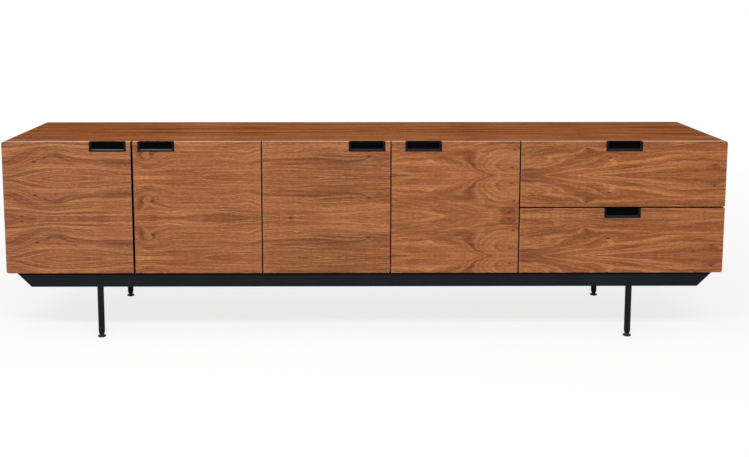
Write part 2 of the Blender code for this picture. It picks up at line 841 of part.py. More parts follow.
def build_legs():
    """Four round legs, flush with the long rails' faces but for their flared tops."""
    in_from_face = BASE_SETBACK + LEG_RADIUS + LEG_FLARE
    for depth, y in (("front", FRONT + in_from_face), ("back", BACK - in_from_face)):
        for side, x in (("left", LEFT + LEG_FROM_END), ("right", RIGHT - LEG_FROM_END)):
            leg = turned(f"leg_{depth}_{side}", leg_profile(), x, y, LEG_SIDES, BLACK_STEEL)
            glide = turned(f"glide_{depth}_{side}", glide_profile(), x, y, LEG_SIDES, GLIDE_BLACK)
            set_origin(leg, (x, y, GLIDE_HEIGHT))
            set_origin(glide, (x, y, 0))


clear_scene()
build_case()
build_shelf("shelf_left", INSIDE_LEFT, PARTITION_LEFT_X - BOARD / 2)
build_shelf("shelf_middle", PARTITION_LEFT_X + BOARD / 2, PARTITION_RIGHT_X - BOARD / 2)
build_doors()
upper_front_bottom = DRAWER_SPLIT_Z + DRAWER_FRONT_GAP / 2
lower_front_top = DRAWER_SPLIT_Z - DRAWER_FRONT_GAP / 2
build_drawer("upper", upper_front_bottom, CASE_TOP, DRAWER_SPLIT_Z, INSIDE_TOP)
build_drawer("lower", CASE_BOTTOM, lower_front_top, INSIDE_BOTTOM, DRAWER_SPLIT_Z)
build_base()
build_legs()
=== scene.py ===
"""The looks of a low walnut buffet cabinet: its veneer, steel, pulls, hinges and runners, on a
pale floor in soft light. Lengths are metres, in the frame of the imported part."""

import json
import math

import bmesh
import bpy
from mathutils import Euler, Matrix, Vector


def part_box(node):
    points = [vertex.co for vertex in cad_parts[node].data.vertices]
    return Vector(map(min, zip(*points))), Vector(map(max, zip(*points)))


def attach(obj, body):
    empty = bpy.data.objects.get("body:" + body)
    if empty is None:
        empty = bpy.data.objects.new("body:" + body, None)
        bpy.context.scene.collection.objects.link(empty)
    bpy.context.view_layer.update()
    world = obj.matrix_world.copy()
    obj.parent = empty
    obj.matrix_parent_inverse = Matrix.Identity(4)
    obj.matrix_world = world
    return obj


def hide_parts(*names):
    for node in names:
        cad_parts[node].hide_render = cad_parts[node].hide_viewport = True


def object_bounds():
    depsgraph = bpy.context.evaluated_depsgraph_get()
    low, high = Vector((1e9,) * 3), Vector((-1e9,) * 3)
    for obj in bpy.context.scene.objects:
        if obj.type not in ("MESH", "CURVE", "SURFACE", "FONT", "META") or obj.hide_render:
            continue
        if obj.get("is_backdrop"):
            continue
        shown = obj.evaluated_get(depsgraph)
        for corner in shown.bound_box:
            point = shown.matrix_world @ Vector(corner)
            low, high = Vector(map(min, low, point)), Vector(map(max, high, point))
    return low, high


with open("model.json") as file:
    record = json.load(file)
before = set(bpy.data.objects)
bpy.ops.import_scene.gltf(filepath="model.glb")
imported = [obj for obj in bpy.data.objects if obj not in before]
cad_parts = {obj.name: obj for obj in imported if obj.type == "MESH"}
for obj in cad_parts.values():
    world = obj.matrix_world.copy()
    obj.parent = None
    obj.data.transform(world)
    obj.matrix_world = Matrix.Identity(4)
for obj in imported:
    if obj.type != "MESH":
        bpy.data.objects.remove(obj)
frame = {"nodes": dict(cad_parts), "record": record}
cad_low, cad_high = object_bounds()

nodes = frame["nodes"]
bodies = frame["record"]["behaviour"]["bodies"]
body_of = {node: body for body, members in bodies.items() for node in members}

# Planes and places shared by many pieces
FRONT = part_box("drawer_front_upper")[0].y
FRONT_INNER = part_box("drawer_front_upper")[1].y
CASE_BOTTOM, CASE_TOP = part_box("bottom_panel")[0].z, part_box("top_panel")[1].z
BOARD = 0.019
DRAWER_WALL = 0.012
X, Y, Z = 0, 1, 2
DOORS = ("door_1", "door_2", "door_3", "door_4")
HUNG_LEFT = ("door_1", "door_3")
PLACES = ("bottom", "top")

# How far a cutting tool passes a face, and how far a fitting stands off one or sinks into one
CLEAR = 0.01
LIFT = 0.00002
SUNK = 0.0001
THIN_EASE = 0.0003
MERGE = 1e-6

# The photograph's camera
IMAGE_WIDTH, IMAGE_HEIGHT = 749, 457
SENSOR = 36.0
FOCAL_PIXELS = 1031.4
CENTRE_PIXEL = (350.8, 123.5)
CAMERA_PLACE = (-0.0592, -3.2208, 1.0325)
CAMERA_PITCH = math.radians(-7.294)
CAMERA_YAW = math.radians(-0.322)


# Selecting and shaping, as by hand


def pick_only(piece):
    if bpy.context.object and bpy.context.object.mode != "OBJECT":
        bpy.ops.object.mode_set(mode="OBJECT")
    bpy.ops.object.select_all(action="DESELECT")
    piece.select_set(True)
    bpy.context.view_layer.objects.active = piece


def name_new(name):
    """The primitive that was just added, named, with its place and size in its mesh."""
    piece = bpy.context.object
    piece.name = name
    piece.data.name = name
    bpy.ops.object.transform_apply(location=True, rotation=True, scale=True)
    return piece


def block(name, corner, opposite):
    """A box between two opposite corners."""
    bpy.ops.object.select_all(action="DESELECT")
    pairs = [sorted(pair) for pair in zip(corner, opposite)]
    middle = [(low + high) / 2 for low, high in pairs]
    size = [high - low for low, high in pairs]
    bpy.ops.mesh.primitive_cube_add(size=1, location=middle, scale=size)
    return name_new(name)


def edit(piece, kind, wanted):
    """Edit mode, with only the faces, edges or vertices selected that the test wants."""
    pick_only(piece)
    bpy.ops.object.mode_set(mode="EDIT")
    bpy.ops.mesh.select_mode(type=kind)
    bpy.ops.mesh.select_all(action="DESELECT")
    mesh = bmesh.from_edit_mesh(piece.data)
    parts = {"FACE": mesh.faces, "EDGE": mesh.edges, "VERT": mesh.verts}[kind]
    for part in parts:
        part.select_set(bool(wanted(part)))
    mesh.select_flush_mode()
    bmesh.update_edit_mesh(piece.data)


def give(thing, settings):
    """A thing with its named settings given."""
    for key, value in settings.items():
        setattr(thing, key, value)
    return thing


def leave_edit():
    bpy.ops.object.mode_set(mode="OBJECT")


def ends(edge):
    return edge.verts[0].co, edge.verts[1].co


def near(a, b, slack=1e-5):
    return abs(a - b) < slack


def lies_at(edge, axis, value, slack=1e-5):
    """Whether both ends of an edge are at the value on the axis."""
    return all(near(end[axis], value, slack) for end in ends(edge))


def runs_along(edge, axis):
    """Whether an edge is parallel to the axis."""
    a, b = ends(edge)
    return all(near(a[other], b[other]) for other in (X, Y, Z) if other != axis)


def bevel_edges(piece, wanted, width, segments):
    edit(piece, "EDGE", wanted)
    bpy.ops.mesh.bevel(offset=width, segments=segments, affect="EDGES", clamp_overlap=True)
    leave_edit()


def apply_modifier(piece, kind, **settings):
    pick_only(piece)
    modifier = give(piece.modifiers.new(kind.lower(), kind), settings)
    bpy.ops.object.modifier_apply(modifier=modifier.name)


def cut_with(piece, tool, operation="DIFFERENCE"):
    apply_modifier(piece, "BOOLEAN", operation=operation, solver="EXACT", object=tool)
    bpy.data.objects.remove(tool, do_unlink=True)


def tidy_mesh(piece, smooth_angle=35):
    """Merges doubles, turns faces outwards, smooths what is round and keeps large faces flat."""
    edit(piece, "VERT", lambda v: True)
    bpy.ops.mesh.remove_doubles(threshold=MERGE)
    bpy.ops.mesh.normals_make_consistent(inside=False)
    leave_edit()
    bpy.ops.object.shade_smooth_by_angle(angle=math.radians(smooth_angle))
    apply_modifier(piece, "WEIGHTED_NORMAL", keep_sharp=True)


def soften(piece, width, segments=2, sharper_than=30):
    """Eases every edge that is sharper than the angle."""
    apply_modifier(
        piece, "BEVEL", width=width, segments=segments, limit_method="ANGLE",
        angle_limit=math.radians(sharper_than),
    )


def rod(name, centre, radius, start, end, axis, sides=48):
    """A straight round bar along an axis, between two places on it."""
    bpy.ops.object.select_all(action="DESELECT")
    place = list(centre)
    place.insert(axis, (start + end) / 2)
    quarter = math.radians(90)
    turn = ((0, quarter, 0), (quarter, 0, 0), (0, 0, 0))[axis]
    bpy.ops.mesh.primitive_cylinder_add(
        vertices=sides, radius=radius, depth=abs(end - start), location=place, rotation=turn
    )
    return name_new(name)


def cad_copy(node, name):
    """A copy of a CAD node's mesh, merged, with its flat faces whole again."""
    piece = bpy.data.objects.new(name, nodes[node].data.copy())
    bpy.context.scene.collection.objects.link(piece)
    edit(piece, "VERT", lambda v: True)
    bpy.ops.mesh.remove_doubles(threshold=MERGE)
    bpy.ops.mesh.dissolve_limited(angle_limit=math.radians(0.5))
    leave_edit()
    return piece


def set_copy(pattern, name, place, facing):
    """A copy of a small part modelled at the origin along +Z, set at a place and facing a way."""
    piece = pattern.copy()
    piece.data = pattern.data.copy()
    piece.name = piece.data.name = name
    bpy.context.scene.collection.objects.link(piece)
    piece.location = place
    piece.rotation_euler = Vector(facing).to_track_quat("Z", "Y").to_euler()
    pick_only(piece)
    bpy.ops.object.transform_apply(location=True, rotation=True, scale=True)
    return piece


def draw_out(offset, scale=None, pivot=None):
    """Draws what is selected on by the offset, and then widens or narrows it about the pivot."""
    bpy.ops.mesh.extrude_region_move(TRANSFORM_OT_translate={"value": offset})
    if scale:
        bpy.ops.transform.resize(value=scale, center_override=pivot)


def join_to(piece, others):
    pick_only(piece)
    for other in others:
        other.select_set(True)
    bpy.ops.object.join()
    return piece


def settle(piece, body, material, slot, *replaced):
    """Gives a finished piece its material and its body, and hides what it stands for. Its slot is
    not used.
    """
    piece.data.materials.clear()
    piece.data.materials.append(material)
    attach(piece, body)
    if replaced:
        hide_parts(*replaced)


# Materials are built node by node


class Recipe:
    """One material, whose nodes are added in the order that the finish is built up."""

    def __init__(self, name):
        self.material = bpy.data.materials.new(name)
        self.material.use_nodes = True
        self.tree = self.material.node_tree
        self.shader = self.tree.nodes["Principled BSDF"]
        self.place = self.node("ShaderNodeTexCoord").outputs["Object"]

    def node(self, kind, **settings):
        return give(self.tree.nodes.new(kind), settings)

    def feed(self, socket, value):
        if isinstance(value, bpy.types.NodeSocket):
            self.tree.links.new(value, socket)
        else:
            socket.default_value = value

    def sum(self, operation, *values, clamp=False):
        made = self.node("ShaderNodeMath", operation=operation, use_clamp=clamp)
        for socket, value in zip(made.inputs, values):
            self.feed(socket, value)
        return made.outputs[0]

    def vector(self, operation, a, b):
        made = self.node("ShaderNodeVectorMath", operation=operation)
        self.feed(made.inputs[0], a)
        self.feed(made.inputs[1], b)
        return made.outputs["Value"] if operation == "DOT_PRODUCT" else made.outputs["Vector"]

    def split(self, vector):
        made = self.node("ShaderNodeSeparateXYZ")
        self.feed(made.inputs[0], vector)
        return made.outputs

    def joined(self, *values):
        made = self.node("ShaderNodeCombineXYZ")
        for socket, value in zip(made.inputs, values):
            self.feed(socket, value)
        return made.outputs[0]

    def noise(self, vector, stretch, detail=2.0, roughness=0.5):
        made = self.node("ShaderNodeTexNoise")
        self.feed(made.inputs["Vector"], self.vector("MULTIPLY", vector, stretch))
        made.inputs["Scale"].default_value = 1.0
        made.inputs["Detail"].default_value = detail
        made.inputs["Roughness"].default_value = roughness
        return made.outputs["Fac"]

    def between(self, value, low, high, new_low=0.0, new_high=1.0, smooth=False):
        kind = "SMOOTHSTEP" if smooth else "LINEAR"
        made = self.node("ShaderNodeMapRange", interpolation_type=kind)
        for socket, given in zip(made.inputs, (value, low, high, new_low, new_high)):
            self.feed(socket, given)
        return made.outputs[0]

    def swing(self, noise, lowest, highest):
        """Nearly the whole range of a noise, from the lowest to the highest value."""
        return self.between(noise, 0.3, 0.7, lowest, highest)

    def line(self, value, middle, half_width):
        """One along the line where the value is at its middle, falling to nothing beside it."""
        away = self.sum("ABSOLUTE", self.sum("SUBTRACT", value, middle))
        return self.sum("SUBTRACT", 1.0, self.sum("DIVIDE", away, half_width), clamp=True)

    def ramp(self, factor, stops):
        made = self.node("ShaderNodeValToRGB")
        elements = made.color_ramp.elements
        while len(elements) < len(stops):
            elements.new(0.5)
        for element, (position, colour) in zip(elements, stops):
            element.position = position
            element.color = (*colour, 1.0)
        self.feed(made.inputs["Fac"], factor)
        return made.outputs["Color"]

    def mix(self, factor, a, b, mode="MIX"):
        made = self.node("ShaderNodeMix", data_type="RGBA", blend_type=mode)
        for socket, value in ((made.inputs[0], factor), (made.inputs[6], a), (made.inputs[7], b)):
            self.feed(socket, (*value, 1.0) if isinstance(value, tuple) else value)
        return made.outputs[2]

    def laid(self, colour, amount, share, tone, mode="MIX"):
        """The colour with a tone laid over it, by a share of the amount."""
        return self.mix(self.sum("MULTIPLY", amount, share), colour, tone, mode)

    def shaded(self, colour, shade):
        """The colour, made darker or lighter by a grey shade."""
        return self.mix(1.0, colour, self.joined(shade, shade, shade), "MULTIPLY")

    def normal(self):
        return self.split(self.node("ShaderNodeTexCoord").outputs["Normal"])

    def bump(self, height, distance, strength):
        made = self.node("ShaderNodeBump")
        made.inputs["Strength"].default_value = strength
        made.inputs["Distance"].default_value = distance
        self.feed(made.inputs["Height"], height)
        self.feed(self.shader.inputs["Normal"], made.outputs["Normal"])

    def finish(self, colour, roughness, metallic=0.0, **sockets):
        if isinstance(colour, tuple):
            colour = (*colour, 1.0)
        self.feed(self.shader.inputs["Base Color"], colour)
        self.feed(self.shader.inputs["Roughness"], roughness)
        self.shader.inputs["Metallic"].default_value = metallic
        for key, value in sockets.items():
            self.feed(self.shader.inputs[key.replace("_", " ")], value)
        return self.material


# Walnut's colours: from its dark growth to its pale growth, and what is laid over them
WALNUT = (
    (0.30, (0.135, 0.038, 0.013)),
    (0.41, (0.215, 0.067, 0.022)),
    (0.50, (0.290, 0.098, 0.034)),
    (0.59, (0.365, 0.135, 0.050)),
    (0.72, (0.470, 0.200, 0.085)),
)
FLECK = (0.56, 0.27, 0.11)
LATE_WOOD = (0.64, 0.50, 0.40)
GOLDEN_WOOD = (0.580, 0.285, 0.115)
SMOKE = (0.60, 0.50, 0.42)
DENSE_SMOKE = (0.50, 0.40, 0.34)
PORE = (0.35, 0.26, 0.22)
KNOT_RING = (0.200, 0.052, 0.018)
KNOT_EYE = (0.050, 0.013, 0.007)
# A painted highlight for the fronts' edges, and black painted as shade in the gaps
EDGE_HIGHLIGHT_TONE = (0.640, 0.430, 0.310)
GAP_SHADE_BLACK = (0.004, 0.004, 0.004)


def painted_edge_highlight(recipe, place):
    """How far a front's veneer is painted pale as a highlight: on its upper edge, most of all near
    its face, and a little on the rounds of its upright edges."""
    normal = recipe.normal()
    near_face = recipe.between(place[Y], FRONT + 0.004, FRONT + 0.010, 0.62, 0.10, smooth=True)
    upper = recipe.sum("MULTIPLY", recipe.between(normal[Z], 0.25, 0.9, smooth=True), near_face)
    sideways = recipe.between(recipe.sum("ABSOLUTE", normal[X]), 0.15, 0.6, smooth=True)
    on_round = recipe.between(place[Y], FRONT + 0.002, FRONT + 0.004, 0.22, 0.0)
    return recipe.sum("MAXIMUM", upper, recipe.sum("MULTIPLY", sideways, on_round))


def veneer(
    name, along, across, seam, leaf, start, swirls=(), knots=(), smokes=(), figure=1.0, spread=1.0,
    contrast=1.0, tint=None, specular=0.22, gap_shade_plane=None,
):
    """Walnut veneer in leaves of one width, each turned over beside the last, so that the figure
    mirrors at every seam. Swirls bend the growth lines, knots are small dark eyes in them, and
    smokes are darker clouds. Their places are (metres along the grain, metres from the seam).
    Figure is how far the growth lines wander, spread how far apart they lie, contrast how much
    their bands differ, and gap shade plane the plane of a front edge that is painted black as the
    shade in its gap."""
    recipe = Recipe(name)
    place = recipe.split(recipe.place)
    run = place[along]
    third = place[3 - along - across]
    fold = recipe.sum("PINGPONG", recipe.sum("SUBTRACT", place[across], seam), leaf)
    on_leaf = recipe.joined(run, 0.0, fold)
    started = recipe.sum("ADD", run, start)
    spot = recipe.joined(started, third, fold)

    def away_from(x, v, length, width):
        """Distance from a place on the leaf, squared, in its length and width."""
        away = recipe.vector("SUBTRACT", on_leaf, (x, 0.0, v))
        away = recipe.vector("MULTIPLY", away, (1 / length, 0.0, 1 / width))
        return recipe.vector("DOT_PRODUCT", away, away)

    def hill(x, v, length, width):
        return recipe.sum("EXPONENT", recipe.sum("MULTIPLY", away_from(x, v, length, width), -1.0))

    level = recipe.sum("MULTIPLY", fold, 1 / spread)
    wander = recipe.noise(spot, (1.9, 4.0, 10.0), 1.5)
    level = recipe.sum("MULTIPLY_ADD", wander, 0.085 * figure, level)
    ripple = recipe.noise(spot, (12.0, 20.0, 50.0), 3.0)
    level = recipe.sum("MULTIPLY_ADD", ripple, 0.012, level)
    round_knots = [(x, v, size * 5, size * 2.6, size * 1.6) for x, v, size in knots]
    for x, v, length, width, rise in (*swirls, *round_knots):
        level = recipe.sum("MULTIPLY_ADD", hill(x, v, length, width), rise, level)
    grown = recipe.joined(started, third, level)

    bands = recipe.noise(grown, (1.4, 3.0, 88.0), 6.0, 0.70)
    lines = recipe.noise(grown, (3.0, 5.0, 170.0), 3.0, 0.50)
    late = recipe.line(lines, 0.50, 0.080)
    golden = recipe.line(lines, 0.60, 0.055)
    streaks = recipe.noise(spot, (5.0, 90.0, 420.0), 3.0, 0.6)
    flecks = recipe.between(recipe.noise(spot, (34.0, 160.0, 330.0), 2.0), 0.58, 0.74)
    smoke = recipe.between(recipe.noise(grown, (1.6, 3.0, 26.0), 4.0, 0.65), 0.52, 0.72)
    pores = recipe.between(recipe.noise(spot, (60.0, 700.0, 1500.0), 1.0), 0.60, 0.70)
    clouds = recipe.swing(recipe.noise(spot, (2.2, 4.0, 6.0), 2.0), 0.86, 1.14)
    ticks = recipe.swing(recipe.noise(spot, (110.0, 300.0, 330.0), 2.0, 0.65), -0.24, 0.24)

    banded = recipe.sum("MULTIPLY_ADD", recipe.sum("SUBTRACT", bands, 0.5), contrast, 0.5)
    streaked = recipe.sum("MULTIPLY", recipe.sum("SUBTRACT", streaks, 0.5), 0.42)
    colour = recipe.ramp(recipe.sum("ADD", banded, streaked), WALNUT)
    colour = recipe.laid(colour, flecks, 0.34, FLECK)
    colour = recipe.laid(colour, late, 0.58, LATE_WOOD, "MULTIPLY")
    colour = recipe.laid(colour, golden, 0.30, GOLDEN_WOOD)
    colour = recipe.laid(colour, smoke, 0.42, SMOKE, "MULTIPLY")
    for x, v, length, width, depth in smokes:
        in_bands = recipe.between(bands, 0.30, 0.60, depth, depth * 0.25)
        patch = hill(x, v, length, width)
        colour = recipe.laid(colour, patch, in_bands, DENSE_SMOKE, "MULTIPLY")
    colour = recipe.laid(colour, pores, 0.35, PORE, "MULTIPLY")
    colour = recipe.shaded(colour, recipe.sum("ADD", clouds, ticks))
    for x, v, size in knots:
        away = away_from(x, v, size / 0.6, size / 1.3)
        ring = recipe.between(away, 0.3, 2.6, 0.75, 0.0, smooth=True)
        colour = recipe.mix(ring, colour, KNOT_RING)
        eye = recipe.between(away, 0.05, 0.9, 0.9, 0.0, smooth=True)
        colour = recipe.mix(eye, colour, KNOT_EYE)
    # Fronts get a painted highlight on their upper edges and on the rounds of their upright edges.
    if across == Z:
        colour = recipe.mix(painted_edge_highlight(recipe, place), colour, EDGE_HIGHLIGHT_TONE)
    # Painted shade: the board is painted black at its front edge, where the gaps between the fronts
    # show it.
    if gap_shade_plane is not None:
        painted_gap_shade = recipe.between(place[Y], gap_shade_plane + 0.0006, gap_shade_plane + 0.0010, 1.0, 0.0)
        colour = recipe.mix(painted_gap_shade, colour, GAP_SHADE_BLACK)
    if tint:
        colour = recipe.mix(1.0, colour, tint, "MULTIPLY")
    recipe.bump(recipe.sum("MULTIPLY_ADD", pores, -0.6, streaks), 0.00012, 0.6)
    return recipe.finish(colour, recipe.swing(bands, 0.52, 0.44), Specular_IOR_Level=specular)


SHADOW = (0.0022, 0.0018, 0.0016)


def powder_coat(name, colour, roughness, specular, shadow_strip=None):
    """Fine-textured powder coat on steel, with a painted shadow: dark above the shadow strip's
    height.
    """
    recipe = Recipe(name)
    orange_peel = recipe.noise(recipe.place, (900.0, 900.0, 900.0), 2.0)
    drift = recipe.noise(recipe.place, (9.0, 9.0, 9.0), 2.0)
    tone = recipe.shaded(colour, recipe.swing(drift, 0.88, 1.12))
    if shadow_strip is not None:
        height = recipe.split(recipe.place)[Z]
        in_strip = recipe.between(height, shadow_strip, shadow_strip + 0.0012)
        tone = recipe.mix(in_strip, tone, SHADOW)
    recipe.bump(orange_peel, 0.00008, 0.5)
    sheen = recipe.swing(orange_peel, roughness - 0.05, roughness + 0.05)
    return recipe.finish(tone, sheen, Specular_IOR_Level=specular)


def plated(name, colour, roughness):
    """Rolled and plated steel, with faint lengthwise rolling marks and cloudy plating."""
    recipe = Recipe(name)
    marks = recipe.noise(recipe.place, (300.0, 14.0, 900.0), 2.0)
    cloud = recipe.noise(recipe.place, (45.0, 45.0, 45.0), 3.0)
    tone = recipe.shaded(colour, recipe.swing(cloud, 0.86, 1.1))
    recipe.bump(marks, 0.00004, 0.4)
    sheen = recipe.swing(cloud, roughness - 0.06, roughness + 0.08)
    return recipe.finish(tone, sheen, metallic=1.0)


# Birch from its dark grain to its pale grain, and its layers as they show on an edge
BIRCH = ((0.30, (0.50, 0.33, 0.18)), (0.50, (0.62, 0.45, 0.27)), (0.70, (0.72, 0.56, 0.37)))
PALE_LAYER, DARK_LAYER = (0.66, 0.49, 0.30), (0.36, 0.21, 0.10)
LAYER = 0.0014


def birch(name, box=None):
    """Birch plywood: pale, close-grained faces, and its layers on the upper edges of a box."""
    recipe = Recipe(name)
    grain = recipe.noise(recipe.place, (7.0, 7.0, 260.0), 4.0, 0.6)
    cloud = recipe.noise(recipe.place, (3.0, 3.0, 14.0), 2.0)
    tone = recipe.sum("MULTIPLY_ADD", cloud, 0.4, recipe.sum("MULTIPLY", grain, 0.6))
    colour = recipe.ramp(tone, BIRCH)
    if box:
        low, high = box
        x, y, _ = recipe.split(recipe.place)
        off_middle = recipe.sum("ABSOLUTE", recipe.sum("SUBTRACT", x, (low.x + high.x) / 2))
        on_side = recipe.sum("GREATER_THAN", off_middle, (high.x - low.x) / 2 - DRAWER_WALL)
        through = recipe.mix(on_side, recipe.joined(y, 0.0, 0.0), recipe.joined(x, 0.0, 0.0))
        layer = recipe.sum("PINGPONG", recipe.split(through)[X], LAYER)
        layer = recipe.between(layer, 0.0005, 0.0009, smooth=True)
        layers = recipe.mix(layer, PALE_LAYER, DARK_LAYER)
        upward = recipe.between(recipe.normal()[Z], 0.5, 0.8)
        colour = recipe.mix(upward, colour, layers)
    recipe.bump(grain, 0.0001, 0.4)
    return recipe.finish(colour, 0.48)


# Veneer on the case and the fronts, each front's leaves matched as they are in the photograph
LEAF = 0.1213
door_1_veneer = veneer(
    "walnut_door_1", X, Z, 0.3655, LEAF, 3.1,
    swirls=(
        (-0.885, 0.1213, 0.140, 0.050, 0.044),
        (-0.922, 0.050, 0.050, 0.024, 0.020),
        (-1.060, 0.080, 0.050, 0.026, -0.026),
    ),
    knots=((-0.9725, 0.0715, 0.0045), (-1.0145, 0.0075, 0.0040)),
    smokes=(
        (-1.030, 0.073, 0.040, 0.006, 1.20),
        (-1.035, 0.113, 0.038, 0.009, 1.00),
        (-0.980, 0.100, 0.045, 0.009, 0.90),
        (-0.905, 0.051, 0.018, 0.016, 0.60),
        (-1.050, 0.020, 0.060, 0.012, 0.50),
    ),
    contrast=0.75,
    tint=(0.887, 0.890, 0.909),
)
middle_veneer = veneer(
    "walnut_doors_2_and_3", X, Z, 0.3680, LEAF, 7.4,
    swirls=(
        (-0.640, 0.068, 0.044, 0.029, -0.048),
        (-0.350, 0.060, 0.035, 0.018, -0.016),
        (-0.120, 0.030, 0.120, 0.030, 0.014),
    ),
    knots=(
        (-0.6285, 0.0510, 0.0045),
        (0.0115, 0.0600, 0.0045),
        (-0.2202, 0.0, 0.0050),
    ),
    smokes=(
        (0.045, 0.070, 0.050, 0.018, 0.50),
        (-0.645, 0.0900, 0.022, 0.005, 1.30),
        (-0.664, 0.058, 0.012, 0.018, 1.00),
        (-0.615, 0.060, 0.018, 0.012, 0.90),
        (-0.560, 0.085, 0.060, 0.012, 0.60),
    ),
    figure=0.75,
    contrast=0.80,
    tint=(0.880, 0.860, 0.775),
)
door_4_veneer = veneer(
    "walnut_door_4", X, Z, 0.3735, LEAF, 12.9,
    swirls=(
        (0.432, 0.0990, 0.096, 0.042, -0.044),
        (0.470, 0.0, 0.330, 0.060, 0.026),
    ),
    knots=((0.4314, 0.0980, 0.0035), (0.4246, 0.0105, 0.0045), (0.4390, 0.0447, 0.0030)),
    smokes=((0.120, 0.035, 0.080, 0.008, 0.70), (0.325, 0.080, 0.040, 0.020, 0.55)),
    figure=0.5,
    spread=2.0,
    contrast=1.00,
    tint=(0.880, 0.845, 0.715),
)
drawer_veneer = veneer(
    "walnut_drawers", X, Z, 0.3735, LEAF, 17.3,
    swirls=(
        (0.400, 0.1213, 0.280, 0.050, -0.044),
        (0.700, 0.050, 0.100, 0.025, 0.008),
        (0.950, 0.060, 0.120, 0.022, 0.009),
    ),
    knots=((0.7212, 0.0690, 0.0040), (0.6554, 0.0415, 0.0040), (1.0321, 0.0900, 0.0040)),
    smokes=(
        (0.475, 0.108, 0.050, 0.018, 0.80),
        (0.520, 0.050, 0.080, 0.012, 0.60),
        (0.760, 0.105, 0.090, 0.016, 0.50),
    ),
    figure=0.75,
    spread=1.4,
    contrast=0.70,
    tint=(0.950, 0.912, 0.762),
)
# Its tint makes the top darker than the fronts: painted shade, as the lamps light the top about as
# much as the fronts.
top_veneer = veneer(
    "walnut_top", X, Y, -0.14, 0.15, 23.0, contrast=1.5, tint=(0.902, 0.837, 0.800), specular=0.0
)
end_veneer = veneer("walnut_ends", Z, Y, -0.14, 0.15, 29.0, figure=0.8, tint=(0.95, 0.90, 0.80))
bottom_veneer = veneer("walnut_bottom", X, Y, -0.14, 0.15, 33.0, figure=0.7)
inside_veneer = veneer("walnut_inside", X, Y, 0.02, 0.16, 37.0, figure=0.5, tint=(1.02, 1.05, 1.1))
# The partitions' front edges are painted black: painted shade in the gaps between the fronts.
upright_veneer = veneer(
    "walnut_partitions", Z, Y, 0.02, 0.16, 41.0, figure=0.5, tint=(1.02, 1.05, 1.1),
    gap_shade_plane=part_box("partition_left")[0].y,
)
back_veneer = veneer("walnut_back", X, Z, 0.40, 0.19, 45.0, figure=0.9, tint=(0.95, 0.90, 0.80))


# Near-black tones painted on the edges in the gaps, as their shade
GAP_SHADE_TONES = ((0.35, (0.0060, 0.0036, 0.0026)), (0.65, (0.0110, 0.0065, 0.0045)))


def gap_shade_edge(name):
    """The edges that face each other across the narrow gaps are painted nearly black: painted shade
    in the gaps.
    """
    recipe = Recipe(name)
    grain = recipe.noise(recipe.place, (30.0, 200.0, 60.0), 3.0)
    recipe.bump(grain, 0.0001, 0.4)
    return recipe.finish(recipe.ramp(grain, GAP_SHADE_TONES), 0.6, Specular_IOR_Level=0.1)


gap_shade_veneer = gap_shade_edge("walnut_gap_painted_shade")

# The top of the base gets a painted shadow under the fronts' lower edges.
base_coat = powder_coat(
    "base_powder_coat", (0.0088, 0.0096, 0.0122), 0.45, 0.05, shadow_strip=CASE_BOTTOM - 0.0078
)
pull_coat = powder_coat("pull_powder_coat", (0.0040, 0.0040, 0.0046), 0.42, 0.08)
# Lit and dim copies of one bevel coat: the brighter, glossier copy paints the lamp's reflection on
# the two left pulls.
lit_pull_bevel = powder_coat("pull_bevel_painted_sheen", (0.0060, 0.0060, 0.0066), 0.28, 0.55)
pull_bevel_painted_dim = powder_coat("pull_bevel_painted_dim", (0.0050, 0.0058, 0.0072), 0.40, 0.16)
# A darker coat for the back of the pull's pocket: painted shade in the recess.
pull_back_shaded = powder_coat("pull_back_painted_shade", (0.0022, 0.0022, 0.0023), 0.85, 0.01)
glide_plastic = powder_coat("glide_plastic", (0.024, 0.021, 0.019), 0.50, 0.25)
zinc = plated("zinc_plate", (0.60, 0.61, 0.62), 0.30)
nickel = plated("nickel_plate", (0.66, 0.64, 0.60), 0.24)
birch_ply = birch("birch_ply")
birch_box = birch("birch_ply_edges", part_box("drawer_box_upper"))


def plain_soft(name, colour, roughness, scale, depth):
    """Rubber and felt: small, even mottling."""
    recipe = Recipe(name)
    mottle = recipe.noise(recipe.place, (scale, scale, scale), 3.0, 0.6)
    tone = recipe.shaded(colour, recipe.swing(mottle, 0.80, 1.15))
    recipe.bump(mottle, depth, 0.5)
    return recipe.finish(tone, roughness, Specular_IOR_Level=0.3)


clear_rubber = plain_soft("clear_rubber", (0.60, 0.58, 0.52), 0.30, 300.0, 0.00003)
felt_grey = plain_soft("felt_grey", (0.030, 0.030, 0.032), 0.90, 1500.0, 0.0003)

# The only CAD pieces that are shown as they are: everything else is stood for by a finer one
SHOWN = {
    "partition_left": upright_veneer,
    "partition_right": upright_veneer,
    "drawer_bottom_upper": birch_ply,
    "drawer_bottom_lower": birch_ply,
}
for node, material in SHOWN.items():
    nodes[node].data.materials.clear()
    nodes[node].data.materials.append(material)


# Fronts

CASE_CORNER = 0.0080
FACE_ROUND, BACK_ROUND, END_EASE = 0.0022, 0.0015, 0.0012
NOTCH_HALF_WIDTH, NOTCH_HEIGHT, NOTCH_DEPTH = 0.0520, 0.0275, 0.0135
CUP_BORE_RADIUS, CUP_BORE_DEPTH = 0.0171, 0.012
HINGE_FROM_END = 0.075
HINGE_HEIGHTS = (CASE_BOTTOM + HINGE_FROM_END, CASE_TOP - HINGE_FROM_END)
CUP_FROM_EDGE = 0.0225

# Which faces of a front are painted nearly black as shade: how squarely they face a gap, and how
# far in they lie
FACES_SIDE, FACES_UP, END_MARGIN, SKIN, BACK_SKIN = 0.85, 0.9, 0.003, 0.0003, 0.0004
INSIDE_ROW = (CASE_BOTTOM + 0.01, CASE_TOP - 0.01)


